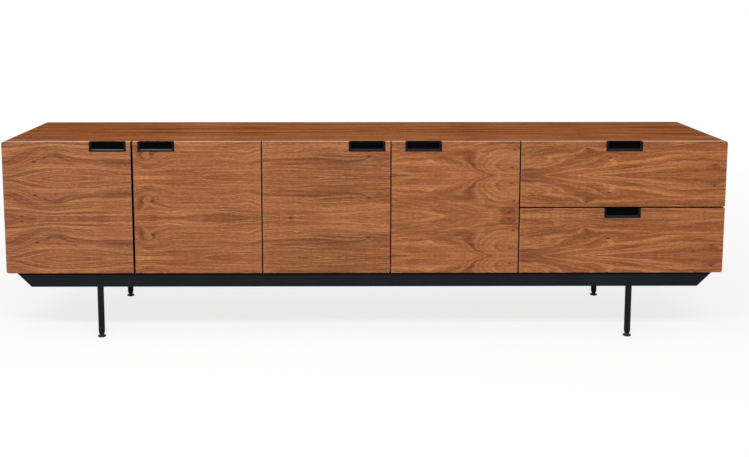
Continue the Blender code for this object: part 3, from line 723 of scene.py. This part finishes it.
def case_hull():
    """The whole case as one block, whose four long corners are rounded, to round fronts with."""
    hull = block(
        "hull",
        (cad_low.x, cad_low.y - BOARD, CASE_BOTTOM),
        (cad_high.x, cad_high.y + BOARD, CASE_TOP),
    )
    bevel_edges(hull, lambda e: runs_along(e, Y), CASE_CORNER, 8)
    return hull


def in_painted_gap_shade(face):
    """Whether a front's face lies in a narrow gap, or at the back of its notch."""
    x, y, z = face.center
    to_side = abs(face.normal.x) > FACES_SIDE and abs(x) < cad_high.x - END_MARGIN
    to_drawer = abs(face.normal.z) > FACES_UP and INSIDE_ROW[0] < z < INSIDE_ROW[1]
    within = FRONT + SKIN < y < FRONT_INNER - BACK_SKIN
    return (to_side or to_drawer) and within or near(y, FRONT + NOTCH_DEPTH, SKIN)


def front_panel(name, material, pull_x, cups=()):
    """A veneered front with softly rounded edges, a notch for its pull, and cup bores."""
    low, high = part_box(name)
    low.y, high.y = FRONT, FRONT_INNER
    slab = block(name + "_veneered", low, high)

    def upright_at(y):
        return lambda e: runs_along(e, Z) and lies_at(e, Y, y)

    bevel_edges(slab, upright_at(FRONT), FACE_ROUND, 5)
    bevel_edges(slab, upright_at(FRONT_INNER), BACK_ROUND, 3)
    for z in (low.z, high.z):
        bevel_edges(slab, lambda e: lies_at(e, Z, z), END_EASE, 3)
    if low.x < cad_low.x + BOARD or high.x > cad_high.x - BOARD:
        cut_with(slab, case_hull(), "INTERSECT")
    notch = block(
        "notch",
        (pull_x - NOTCH_HALF_WIDTH, FRONT - CLEAR, high.z - NOTCH_HEIGHT),
        (pull_x + NOTCH_HALF_WIDTH, FRONT + NOTCH_DEPTH, high.z + CLEAR),
    )
    cut_with(slab, notch)
    start, end = FRONT_INNER - CUP_BORE_DEPTH, FRONT_INNER + CUP_BORE_DEPTH
    for centre in cups:
        cut_with(slab, rod("bore", centre, CUP_BORE_RADIUS, start, end, Y))
    tidy_mesh(slab)
    settle(slab, body_of[name], material, "walnut_veneer", name)
    # The faces in the gaps and at the back of the notch get a near-black veneer: painted shade.
    slab.data.materials.append(gap_shade_veneer)
    for face in slab.data.polygons:
        if in_painted_gap_shade(face):
            face.material_index = 1


PULLS = {
    "pull_door_1": ("door_1", door_1_veneer),
    "pull_door_2": ("door_2", middle_veneer),
    "pull_door_3": ("door_3", middle_veneer),
    "pull_door_4": ("door_4", door_4_veneer),
    "pull_drawer_upper": ("drawer_front_upper", drawer_veneer),
    "pull_drawer_lower": ("drawer_front_lower", drawer_veneer),
}


def cup_places(front):
    """Where a door's two hinge cups are, beside the edge that it hangs on."""
    if front not in DOORS:
        return ()
    low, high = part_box(front)
    cup_x = low.x + CUP_FROM_EDGE if front in HUNG_LEFT else high.x - CUP_FROM_EDGE
    return tuple((cup_x, z) for z in HINGE_HEIGHTS)


for pull, (front, material) in PULLS.items():
    low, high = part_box(pull)
    front_panel(front, material, (low.x + high.x) / 2, cup_places(front))


# Pulls, each pressed from one sheet

# The pulls whose bevels get the brighter copy: a painted reflection of the light from the upper
# left
PAINTED_LIT_BEVELS = ("pull_door_1", "pull_door_2")
RIM = 0.0035
SHEET = 0.0011
LEAN = 0.0038
CORNER_FOLD, LONG_FOLD, SHEET_EASE = 0.0026, 0.0007, 0.00022
SHEET_SHARE = 0.9
PAST_BEVEL, BEVEL_LEANS = 0.001, 0.6


def pressed_pull(name):
    """A pan pressed from one sheet: back, walls, a leaning bevel and a rim, with rounded folds."""
    low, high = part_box(name)
    x, top = (low.x + high.x) / 2, high.z
    half, tall = (high.x - low.x) / 2, high.z - low.z
    back_half, back_tall = half - RIM - LEAN, tall - RIM - LEAN
    rim_plane, back_plane = low.y + SHEET / 2, high.y - SHEET / 2
    bevel_plane = rim_plane + LEAN
    bpy.ops.object.select_all(action="DESELECT")
    bpy.ops.mesh.primitive_plane_add(
        size=1, location=(x, back_plane, top - back_tall / 2), rotation=(math.radians(90), 0, 0)
    )
    bpy.context.object.scale = (2 * back_half, back_tall, 1)
    sheet = name_new(name + "_pressed")

    edit(sheet, "EDGE", lambda e: len(e.link_faces) == 1 and not lies_at(e, Z, top))
    pivot = (x, back_plane, top)
    draw_out((0, bevel_plane - back_plane, 0))
    leaning = ((half - RIM) / back_half, 1, (tall - RIM) / back_tall)
    draw_out((0, rim_plane - bevel_plane, 0), leaning, pivot)
    rim = (half / (half - RIM), 1, tall / (tall - RIM))
    draw_out((0, 0, 0), rim, pivot)
    leave_edit()

    def corner_fold(e):
        a, b = ends(e)
        return len(e.link_faces) == 2 and not near(a.y, b.y)

    def long_fold(e):
        return len(e.link_faces) == 2 and e.calc_face_angle(0) > math.radians(40)

    bevel_edges(sheet, corner_fold, CORNER_FOLD, 4)
    bevel_edges(sheet, long_fold, LONG_FOLD, 3)
    tidy_mesh(sheet)
    apply_modifier(sheet, "SOLIDIFY", thickness=SHEET * SHEET_SHARE, offset=0.0)
    soften(sheet, SHEET_EASE, 2, 60)
    tidy_mesh(sheet, 50)
    settle(sheet, body_of[name], pull_coat, "pull_black", name)
    sheet.data.materials.append(lit_pull_bevel if name in PAINTED_LIT_BEVELS else pull_bevel_painted_dim)
    sheet.data.materials.append(pull_back_shaded)
    # Faces behind the bevel get the darker coat: painted shade in the pocket.
    for face in sheet.data.polygons:
        if face.center.y > bevel_plane + PAST_BEVEL:
            face.material_index = 2
        elif face.normal.z > BEVEL_LEANS and face.normal.y < -BEVEL_LEANS:
            face.material_index = 1


for pull in PULLS:
    pressed_pull(pull)


# Screws, modelled once each and copied

DOME_SHARE, RECESS_LONG, RECESS_SHORT = 0.45, 0.55, 0.13


def screw_pattern(name, radius, height):
    """A domed screw head with a cross recess, standing on the origin along +Z."""
    dome, long, short = height * DOME_SHARE, radius * RECESS_LONG, radius * RECESS_SHORT
    head = rod(name, (0, 0), radius, 0, height, Z, 20)
    bevel_edges(head, lambda e: lies_at(e, Z, height), dome, 3)
    for x, y in ((long, short), (short, long)):
        cut_with(head, block("recess", (-x, -y, dome), (x, y, height * 2)))
    tidy_mesh(head)
    return head


screw_7mm = screw_pattern("screw_7mm", 0.0035, 0.0014)
screw_6mm = screw_pattern("screw_6mm", 0.0029, 0.0012)


# Case boards, whose long back edges are eased

LONG_EDGE, BACK_EASE = 0.1, 0.0006
CASE_BOARDS = (
    ("top_panel", top_veneer),
    ("bottom_panel", bottom_veneer),
    ("side_panel_left", end_veneer),
    ("side_panel_right", end_veneer),
)
for node, material in CASE_BOARDS:
    board = cad_copy(node, node + "_veneered")
    bevel_edges(
        board,
        lambda e: lies_at(e, Y, cad_high.y, 1e-4) and e.calc_length() > LONG_EDGE,
        BACK_EASE, 2,
    )
    tidy_mesh(board, 25)
    settle(board, body_of[node], material, "walnut_veneer", node)


BACK_SCREW_INSET, BACK_SCREW_FROM_END, BACK_SCREW_SPACES = 0.007, 0.05, 7
SINK_RADIUS, SINK_DEPTH, SINK_SEAT = 0.0036, 0.0016, 0.00155


def screwed_back(node):
    """The thin back, with countersunk screws along its edges."""
    low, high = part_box(node)
    back = block(node + "_screwed", low, high)
    run = high.x - low.x - 2 * BACK_SCREW_FROM_END
    places = []
    for i in range(BACK_SCREW_SPACES + 1):
        x = low.x + BACK_SCREW_FROM_END + run * i / BACK_SCREW_SPACES
        places += [(x, low.z + BACK_SCREW_INSET), (x, high.z - BACK_SCREW_INSET)]
    for x in (low.x + BACK_SCREW_INSET, high.x - BACK_SCREW_INSET):
        places.append((x, (low.z + high.z) / 2))
    for place in places:
        sink = rod("sink", place, SINK_RADIUS, high.y - SINK_DEPTH, high.y + CLEAR, Y, 20)
        cut_with(back, sink)
    soften(back, THIN_EASE, 2, 60)
    tidy_mesh(back)
    settle(back, body_of[node], back_veneer, "walnut_inside", node)
    heads = [
        set_copy(screw_6mm, f"back_screw_{i + 1}", (x, high.y - SINK_SEAT, z), (0, 1, 0))
        for i, (x, z) in enumerate(places)
    ]
    heads[0].name = "back_panel_screws"
    settle(join_to(heads[0], heads[1:]), body_of[node], zinc, "zinc_steel")


screwed_back("back_panel")


# Hinges: a pressed cup in the door, and an arm on the case whose links reach into the cup

CUP_RADIUS, CUP_DEPTH = 0.0165, 0.0115
CUP_INNER_RADIUS, CUP_INNER_DEPTH, CUP_LIP = 0.0153, 0.0105, 0.0005
FLANGE_RADIUS, FLANGE_THICKNESS = 0.0190, 0.0010
WING_HALF_WIDTH, WING_HALF_LENGTH, WING_CORNER = 0.0065, 0.028, 0.0055
CUP_SCREW_OFFSET = 0.0235
PIVOT_RADIUS, PIVOT_HALF_LENGTH, PIVOT_OFFSET, PIVOT_DEPTH = 0.0014, 0.0115, 0.0095, 0.008
ARM_NOSE, ARM_EASE = 0.0005, 0.0008
SLOT_START, SLOT_END, SLOT_HALF_WIDTH, SLOT_ROUND = 0.036, 0.060, 0.0030, 0.0028
SLOT_INNER, SLOT_OUTER = 0.0115, 0.02
PLATE_SCREW_HEIGHT, PLATE_SCREW_BEHIND, PLATE_SCREW_OFFSET = 0.0056, 0.028, 0.0175
LINK_INNER, LINK_OUTER, LINK_NEAR, LINK_FAR = 0.0108, 0.0143, 0.0030, 0.0044
LINK_REACH, LINK_OVERLAP, LINK_ROUND = 0.0088, 0.001, 0.0016

# The arm's screws: how far behind the case's front edge, how far out from the board, and which
ARM_SCREWS = (
    (0.042, 0.0114, screw_7mm),
    (0.0275, 0.0128, screw_6mm),
    (0.0045, 0.0145, screw_6mm),
)


def hinge_cup(door, place, cup_x, z):
    """Cup, wings and pivot pin, in the bore of a door."""
    centre = (cup_x, z)
    seat, back = FRONT_INNER + LIFT, FRONT_INNER + FLANGE_THICKNESS
    cup = rod(f"hinge_cup_{door[-1]}_{place}", centre, FLANGE_RADIUS, seat, back, Y)
    wings = block(
        "wings",
        (cup_x - WING_HALF_WIDTH, seat, z - WING_HALF_LENGTH),
        (cup_x + WING_HALF_WIDTH, back, z + WING_HALF_LENGTH),
    )
    bevel_edges(wings, lambda e: runs_along(e, Y), WING_CORNER, 5)
    cut_with(cup, wings, "UNION")
    wall = rod("wall", centre, CUP_RADIUS, FRONT_INNER - CUP_DEPTH, FRONT_INNER + CUP_LIP, Y)
    cut_with(cup, wall, "UNION")
    floor = FRONT_INNER - CUP_INNER_DEPTH
    cut_with(cup, rod("hollow", centre, CUP_INNER_RADIUS, floor, FRONT_INNER + CLEAR, Y))
    soften(cup, THIN_EASE, 2, 50)
    tidy_mesh(cup)
    away = 1 if door in HUNG_LEFT else -1
    pivot = (cup_x - away * PIVOT_OFFSET, FRONT_INNER - PIVOT_DEPTH)
    pin = rod(
        "pivot_pin", pivot, PIVOT_RADIUS, z - PIVOT_HALF_LENGTH, z + PIVOT_HALF_LENGTH, Z, 20
    )
    soften(pin, THIN_EASE, 2, 50)
    screws = []
    for side in (-1, 1):
        spot = (cup_x, back - SUNK, z + side * CUP_SCREW_OFFSET)
        screws.append(set_copy(screw_7mm, f"cup_screw_{side}", spot, (0, 1, 0)))
    settle(join_to(cup, [pin, *screws]), body_of[door], nickel, "nickel_steel")


def hinge_arm(node, door):
    """The arm as the CAD has it, eased, with its adjusting screws, fixing screws and two links."""
    low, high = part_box(node)
    out, face_x = (1, low.x) if door in HUNG_LEFT else (-1, high.x)
    front, middle = low.y + ARM_NOSE, (low.z + high.z) / 2

    def at(height, behind, up=0.0):
        """A place out from the board, behind the case's front edge, and up from the middle."""
        return face_x + out * height, front + behind, middle + up

    arm = cad_copy(node, node + "_pressed")
    slot = block(
        "slot",
        at(SLOT_INNER, SLOT_START, -SLOT_HALF_WIDTH),
        at(SLOT_OUTER, SLOT_END, SLOT_HALF_WIDTH),
    )
    at_start = at(0, SLOT_START)[Y]
    bevel_edges(slot, lambda e: runs_along(e, X) and lies_at(e, Y, at_start), SLOT_ROUND, 4)
    cut_with(arm, slot)
    soften(arm, ARM_EASE, 3, 20)
    tidy_mesh(arm)
    fittings = []
    for behind, height, pattern in ARM_SCREWS:
        fittings.append(set_copy(pattern, "arm_screw", at(height, behind), (out, 0, 0)))
    at_tip = at(0, -LINK_REACH)[Y]
    for side in (-1, 1):
        spot = at(PLATE_SCREW_HEIGHT, PLATE_SCREW_BEHIND, side * PLATE_SCREW_OFFSET)
        fittings.append(set_copy(screw_7mm, "plate_screw", spot, (out, 0, 0)))
        link = block(
            "link",
            at(LINK_INNER, -LINK_REACH, side * LINK_NEAR),
            at(LINK_OUTER, LINK_OVERLAP, side * LINK_FAR),
        )
        bevel_edges(link, lambda e: runs_along(e, Z) and lies_at(e, Y, at_tip), LINK_ROUND, 3)
        fittings.append(link)
    settle(join_to(arm, fittings), body_of[node], nickel, "nickel_steel", node)


for door in DOORS:
    for place, (cup_x, z) in zip(PLACES, cup_places(door)):
        hinge_cup(door, place, cup_x, z)
        hinge_arm(f"hinge_arm_{door[-1]}_{place}", door)


# Soft bumpers on the backs of the doors

BUMPER_FROM_EDGE, BUMPER_RADIUS, BUMPER_HEIGHT, BUMPER_ROUND = 0.012, 0.0040, 0.0015, 0.0007


def door_bumpers(door):
    """Two clear domes beside the free edge, where the door meets the case's boards."""
    low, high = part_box(door)
    free_x = high.x - BUMPER_FROM_EDGE if door in HUNG_LEFT else low.x + BUMPER_FROM_EDGE
    seat, crown = FRONT_INNER + LIFT, FRONT_INNER + BUMPER_HEIGHT
    for place, z in zip(PLACES, (CASE_BOTTOM + BOARD / 2, CASE_TOP - BOARD / 2)):
        bumper = rod(f"bumper_{door}_{place}", (free_x, z), BUMPER_RADIUS, seat, crown, Y, 28)
        bevel_edges(bumper, lambda e: lies_at(e, Y, crown), BUMPER_ROUND, 4)
        tidy_mesh(bumper)
        settle(bumper, body_of[door], clear_rubber, "glide_black")


for door in DOORS:
    door_bumpers(door)


# Shelves on their steel pins

SHELF_THICKNESS, SHELF_GAP, SHELF_EASE = 0.018, 0.0010, 0.0010
CAD_PIN_RADIUS, CAD_PIN_DEPTH = 0.0025, 0.0075
PIN_RADIUS, PIN_IN_BOARD, PIN_UNDER_SHELF, PIN_FROM_EDGE = 0.0024, 0.0070, 0.0080, 0.050
COLLAR_RADIUS, COLLAR_START, COLLAR_END, COLLAR_DOWN = 0.0045, 0.0001, 0.0016, 0.0050


def shelf_on_pins(node):
    """A shelf without the CAD's pins, which is 1 mm short of the boards, and four collared pins."""
    low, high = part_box(node)
    low.x, high.x = low.x + CAD_PIN_DEPTH + SHELF_GAP, high.x - CAD_PIN_DEPTH - SHELF_GAP
    high.z = low.z + CAD_PIN_RADIUS + SHELF_THICKNESS
    underside = high.z - SHELF_THICKNESS
    shelf = block(node + "_lipped", (low.x, low.y, underside), high)
    soften(shelf, SHELF_EASE, 3, 60)
    tidy_mesh(shelf)
    settle(shelf, body_of[node], inside_veneer, "walnut_inside", node)
    number = 0
    for y in (low.y + PIN_FROM_EDGE, high.y - PIN_FROM_EDGE):
        for face_x, out in ((low.x - SHELF_GAP, 1), (high.x + SHELF_GAP, -1)):
            number += 1
            axis = (y, underside - CAD_PIN_RADIUS)
            start, end = face_x - out * PIN_IN_BOARD, face_x + out * PIN_UNDER_SHELF
            pin = rod(f"{node}_pin_{number}", axis, PIN_RADIUS, start, end, X, 24)
            axis = (y, underside - COLLAR_DOWN)
            start, end = face_x + out * COLLAR_START, face_x + out * COLLAR_END
            cut_with(pin, rod("collar", axis, COLLAR_RADIUS, start, end, X, 24), "UNION")
            soften(pin, THIN_EASE, 2, 50)
            tidy_mesh(pin)
            settle(pin, body_of[node], nickel, "nickel_steel")


shelf_on_pins("shelf_left")
shelf_on_pins("shelf_middle")


# Drawer boxes with eased edges, and the screws that hold their fronts on

WALL_EASE = 0.0014
FRONT_SCREWS_IN, FRONT_SCREWS_UP = (0.09, 0.20), 0.045


def drawer_box(drawer):
    node = "drawer_box_" + drawer
    low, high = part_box(node)
    walls = cad_copy(node, node + "_jointed")
    bevel_edges(walls, lambda e: lies_at(e, Z, high.z, 1e-4), WALL_EASE, 3)
    tidy_mesh(walls)
    settle(walls, body_of[node], birch_box, "birch", node)
    near_end, inner = FRONT_SCREWS_IN
    columns = (low.x + near_end, low.x + inner, high.x - inner, high.x - near_end)
    number = 0
    for x in columns:
        for z in (low.z + FRONT_SCREWS_UP, high.z - FRONT_SCREWS_UP):
            number += 1
            spot = (x, low.y + DRAWER_WALL - SUNK, z)
            screw = set_copy(screw_7mm, f"{node}_screw_{number}", spot, (0, 1, 0))
            settle(screw, body_of[node], zinc, "zinc_steel")


drawer_box("upper")
drawer_box("lower")


ROLLED_EASE, FOLDED_EASE = 0.0004, 0.0008


def runner_piece(node):
    """A runner's channel with its rolled edges eased."""
    channel = cad_copy(node, node + "_rolled")
    soften(channel, ROLLED_EASE, 2, 60)
    tidy_mesh(channel)
    settle(channel, body_of[node], zinc, "zinc_steel", node)


for node in nodes:
    if node.startswith("runner"):
        runner_piece(node)


# Base: folded steel with rounded folds, turned legs and glides

for node in nodes:
    if node.startswith("base"):
        steel = cad_copy(node, node + "_folded")
        soften(steel, FOLDED_EASE, 3, 28)
        tidy_mesh(steel)
        settle(steel, body_of[node], base_coat, "base_black", node)


def grow(piece, z, centre, steps):
    """Draws the end face at a height on in steps, each (rise, scale) about the piece's axis."""
    edit(piece, "FACE", lambda f: all(near(v.co.z, z) for v in f.verts))
    for rise, scale in steps:
        z += rise
        draw_out((0, 0, rise), (scale, scale, 1), (*centre, z))
    leave_edit()


def middle_of(low, high):
    return (low.x + high.x) / 2, (low.y + high.y) / 2


LEG_RADIUS, LEG_TIP = 0.0095, 0.008
LEG_FLARE, LEG_FLARE_HEIGHT, FLARE_STEPS = 0.0015, 0.005, 8
LEG_TIP_STEPS = ((-0.0010, 0.990), (-LEG_TIP + 0.0018, 0.815), (-0.0008, 0.93))


def turned_leg(node):
    """A round leg with a flare under the base and a tapered tip."""
    low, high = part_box(node)
    centre = middle_of(low, high)
    bottom, top = low.z + LEG_TIP, high.z - LEG_FLARE_HEIGHT
    leg = rod(node + "_turned", centre, LEG_RADIUS, bottom, top, Z, 64)
    steps, wide, gone = [], LEG_RADIUS, 0.0
    for i in range(1, FLARE_STEPS + 1):
        angle = math.radians(90) * i / FLARE_STEPS
        rise = LEG_FLARE_HEIGHT * math.sin(angle) - gone
        wider = LEG_RADIUS + LEG_FLARE * (1 - math.cos(angle))
        steps.append((rise, wider / wide))
        gone, wide = gone + rise, wider
    grow(leg, top, centre, steps)
    grow(leg, bottom, centre, LEG_TIP_STEPS)
    tidy_mesh(leg, 40)
    settle(leg, body_of[node], base_coat, "base_black", node)


# A glide's outline above its sole: how far up each step goes, and the radius there
SOLE, GLIDE_START, GLIDE_START_RADIUS = 0.0010, 0.0012, 0.0117
GLIDE_OUTLINE = (
    (0.0003, 0.0123),
    (0.0004, 0.0125),
    (0.0012, 0.0125),
    (0.0005, 0.0122),
    (0.0004, 0.0115),
    (0.0005, 0.0090),
    (0.0014, 0.0068),
    (0.0007, 0.0064),
)
HEXAGON_RADIUS, HEXAGON_BOTTOM, HEXAGON_TOP, HEXAGON_EASE = 0.0066, 0.0062, 0.0086, 0.0004
STEM_RADIUS, STEM_BOTTOM, STEM_SHORT = 0.0038, 0.0080, 0.001
FELT_RADIUS = 0.0112


def turned_glide(node):
    """A round foot with eased rims, a cone to its neck, a hexagon to turn it by and a felt sole."""
    low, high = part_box(node)
    centre = middle_of(low, high)
    start = low.z + GLIDE_START
    foot = rod(node + "_turned", centre, GLIDE_START_RADIUS, low.z + SOLE, start, Z, 64)
    steps, wide = [], GLIDE_START_RADIUS
    for rise, radius in GLIDE_OUTLINE:
        steps.append((rise, radius / wide))
        wide = radius
    grow(foot, start, centre, steps)
    tidy_mesh(foot, 40)
    bottom, top = low.z + HEXAGON_BOTTOM, low.z + HEXAGON_TOP
    hexagon = rod("hexagon", centre, HEXAGON_RADIUS, bottom, top, Z, 6)
    soften(hexagon, HEXAGON_EASE, 2, 40)
    stem = rod("stem", centre, STEM_RADIUS, low.z + STEM_BOTTOM, high.z - STEM_SHORT, Z, 32)
    settle(join_to(foot, [hexagon, stem]), body_of[node], glide_plastic, "glide_black", node)
    felt = rod(node + "_felt", centre, FELT_RADIUS, low.z, low.z + SOLE + SUNK, Z, 48)
    soften(felt, THIN_EASE, 2, 50)
    tidy_mesh(felt)
    settle(felt, body_of[node], felt_grey, "glide_black")


for depth in ("front", "back"):
    for side in ("left", "right"):
        turned_leg(f"leg_{depth}_{side}")
        turned_glide(f"glide_{depth}_{side}")

for pattern in (screw_7mm, screw_6mm):
    bpy.data.objects.remove(pattern, do_unlink=True)


# Floor, light and camera

FLOOR_SIZE, FLOOR_GREY = 30, 0.90
SHADOW_FADE = (1.2, 3.6, 0.80, 1.0)
FILL_STRENGTH = 0.38


def add_node(tree, kind, **settings):
    return give(tree.nodes.new(kind), settings)


def mix_shaders(tree, factor, plain, other):
    made = add_node(tree, "ShaderNodeMixShader")
    for socket, output in zip(made.inputs, (factor, plain, other)):
        tree.links.new(output, socket)
    return made.outputs[0]


def white_where_seen(tree, plain, white):
    """Mixes a plain shader with white for what the camera and glossy surfaces see."""
    path = add_node(tree, "ShaderNodeLightPath")
    seen = path.outputs["Is Camera Ray"]
    for ray in ("Is Glossy Ray", "Is Transmission Ray"):
        either = add_node(tree, "ShaderNodeMath", operation="MAXIMUM")
        tree.links.new(seen, either.inputs[0])
        tree.links.new(path.outputs[ray], either.inputs[1])
        seen = either.outputs[0]
    return mix_shaders(tree, seen, plain, white)


def pale_floor():
    """A floor that is white where it is seen, with the cabinet's shadow kept faint on it."""
    bpy.ops.object.select_all(action="DESELECT")
    bpy.ops.mesh.primitive_plane_add(size=FLOOR_SIZE, location=(0, 0, 0))
    floor = name_new("floor")
    material = bpy.data.materials.new("pale_floor")
    material.use_nodes = True
    tree = material.node_tree
    tree.nodes.clear()
    paint = add_node(tree, "ShaderNodeBsdfDiffuse")
    paint.inputs["Color"].default_value = (FLOOR_GREY, FLOOR_GREY, FLOOR_GREY, 1)
    glow = add_node(tree, "ShaderNodeEmission")
    glow.inputs["Strength"].default_value = 1.0
    place = add_node(tree, "ShaderNodeTexCoord").outputs["Object"]
    distance = add_node(tree, "ShaderNodeVectorMath", operation="LENGTH")
    tree.links.new(place, distance.inputs[0])
    fade = add_node(tree, "ShaderNodeMapRange")
    tree.links.new(distance.outputs["Value"], fade.inputs[0])
    for socket, value in zip(fade.inputs[1:5], SHADOW_FADE):
        socket.default_value = value
    shadowed = mix_shaders(tree, fade.outputs[0], paint.outputs[0], glow.outputs[0])
    output = add_node(tree, "ShaderNodeOutputMaterial")
    tree.links.new(white_where_seen(tree, paint.outputs[0], shadowed), output.inputs["Surface"])
    floor.data.materials.append(material)
    floor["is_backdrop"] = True


def studio_world():
    """Even fill light all round, white where it is seen."""
    world = bpy.data.worlds.new("studio")
    bpy.context.scene.world = world
    world.use_nodes = True
    tree = world.node_tree
    tree.nodes.clear()
    skies = []
    for strength in (FILL_STRENGTH, 1.0):
        sky = add_node(tree, "ShaderNodeBackground")
        sky.inputs["Color"].default_value = (1, 1, 1, 1)
        sky.inputs["Strength"].default_value = strength
        skies.append(sky.outputs[0])
    output = add_node(tree, "ShaderNodeOutputWorld")
    tree.links.new(white_where_seen(tree, *skies), output.inputs["Surface"])


def softbox(name, place, target, size, watts):
    light = bpy.data.lights.new(name, "AREA")
    light.shape = "RECTANGLE"
    light.size, light.size_y = size
    light.energy = watts
    lamp = bpy.data.objects.new(name, light)
    bpy.context.scene.collection.objects.link(lamp)
    lamp.location = place
    lamp.rotation_euler = (Vector(target) - Vector(place)).to_track_quat("-Z", "Y").to_euler()


pale_floor()
studio_world()
softbox(
    "key_softbox", place=(-0.3, -3.3, 3.3), target=(0, 0, 0.35), size=(4.2, 0.5), watts=190
)
softbox(
    "overhead_softbox", place=(-0.9, -0.5, 3.2), target=(-0.5, 0, 0.5), size=(2.4, 1.6), watts=12
)

camera_data = bpy.data.cameras.new("camera")
camera_data.sensor_width = SENSOR
camera_data.lens = FOCAL_PIXELS / IMAGE_WIDTH * SENSOR
camera_data.shift_x = (IMAGE_WIDTH / 2 - CENTRE_PIXEL[0]) / IMAGE_WIDTH
camera_data.shift_y = (CENTRE_PIXEL[1] - IMAGE_HEIGHT / 2) / IMAGE_WIDTH
camera_data.clip_end = 60
camera = bpy.data.objects.new("camera", camera_data)
bpy.context.scene.collection.objects.link(camera)
camera.location = CAMERA_PLACE
camera.rotation_euler = Euler((math.radians(90) + CAMERA_PITCH, 0, CAMERA_YAW), "XYZ")
bpy.context.scene.camera = camera
bpy.context.scene.view_settings.view_transform = "Standard"

low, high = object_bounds()
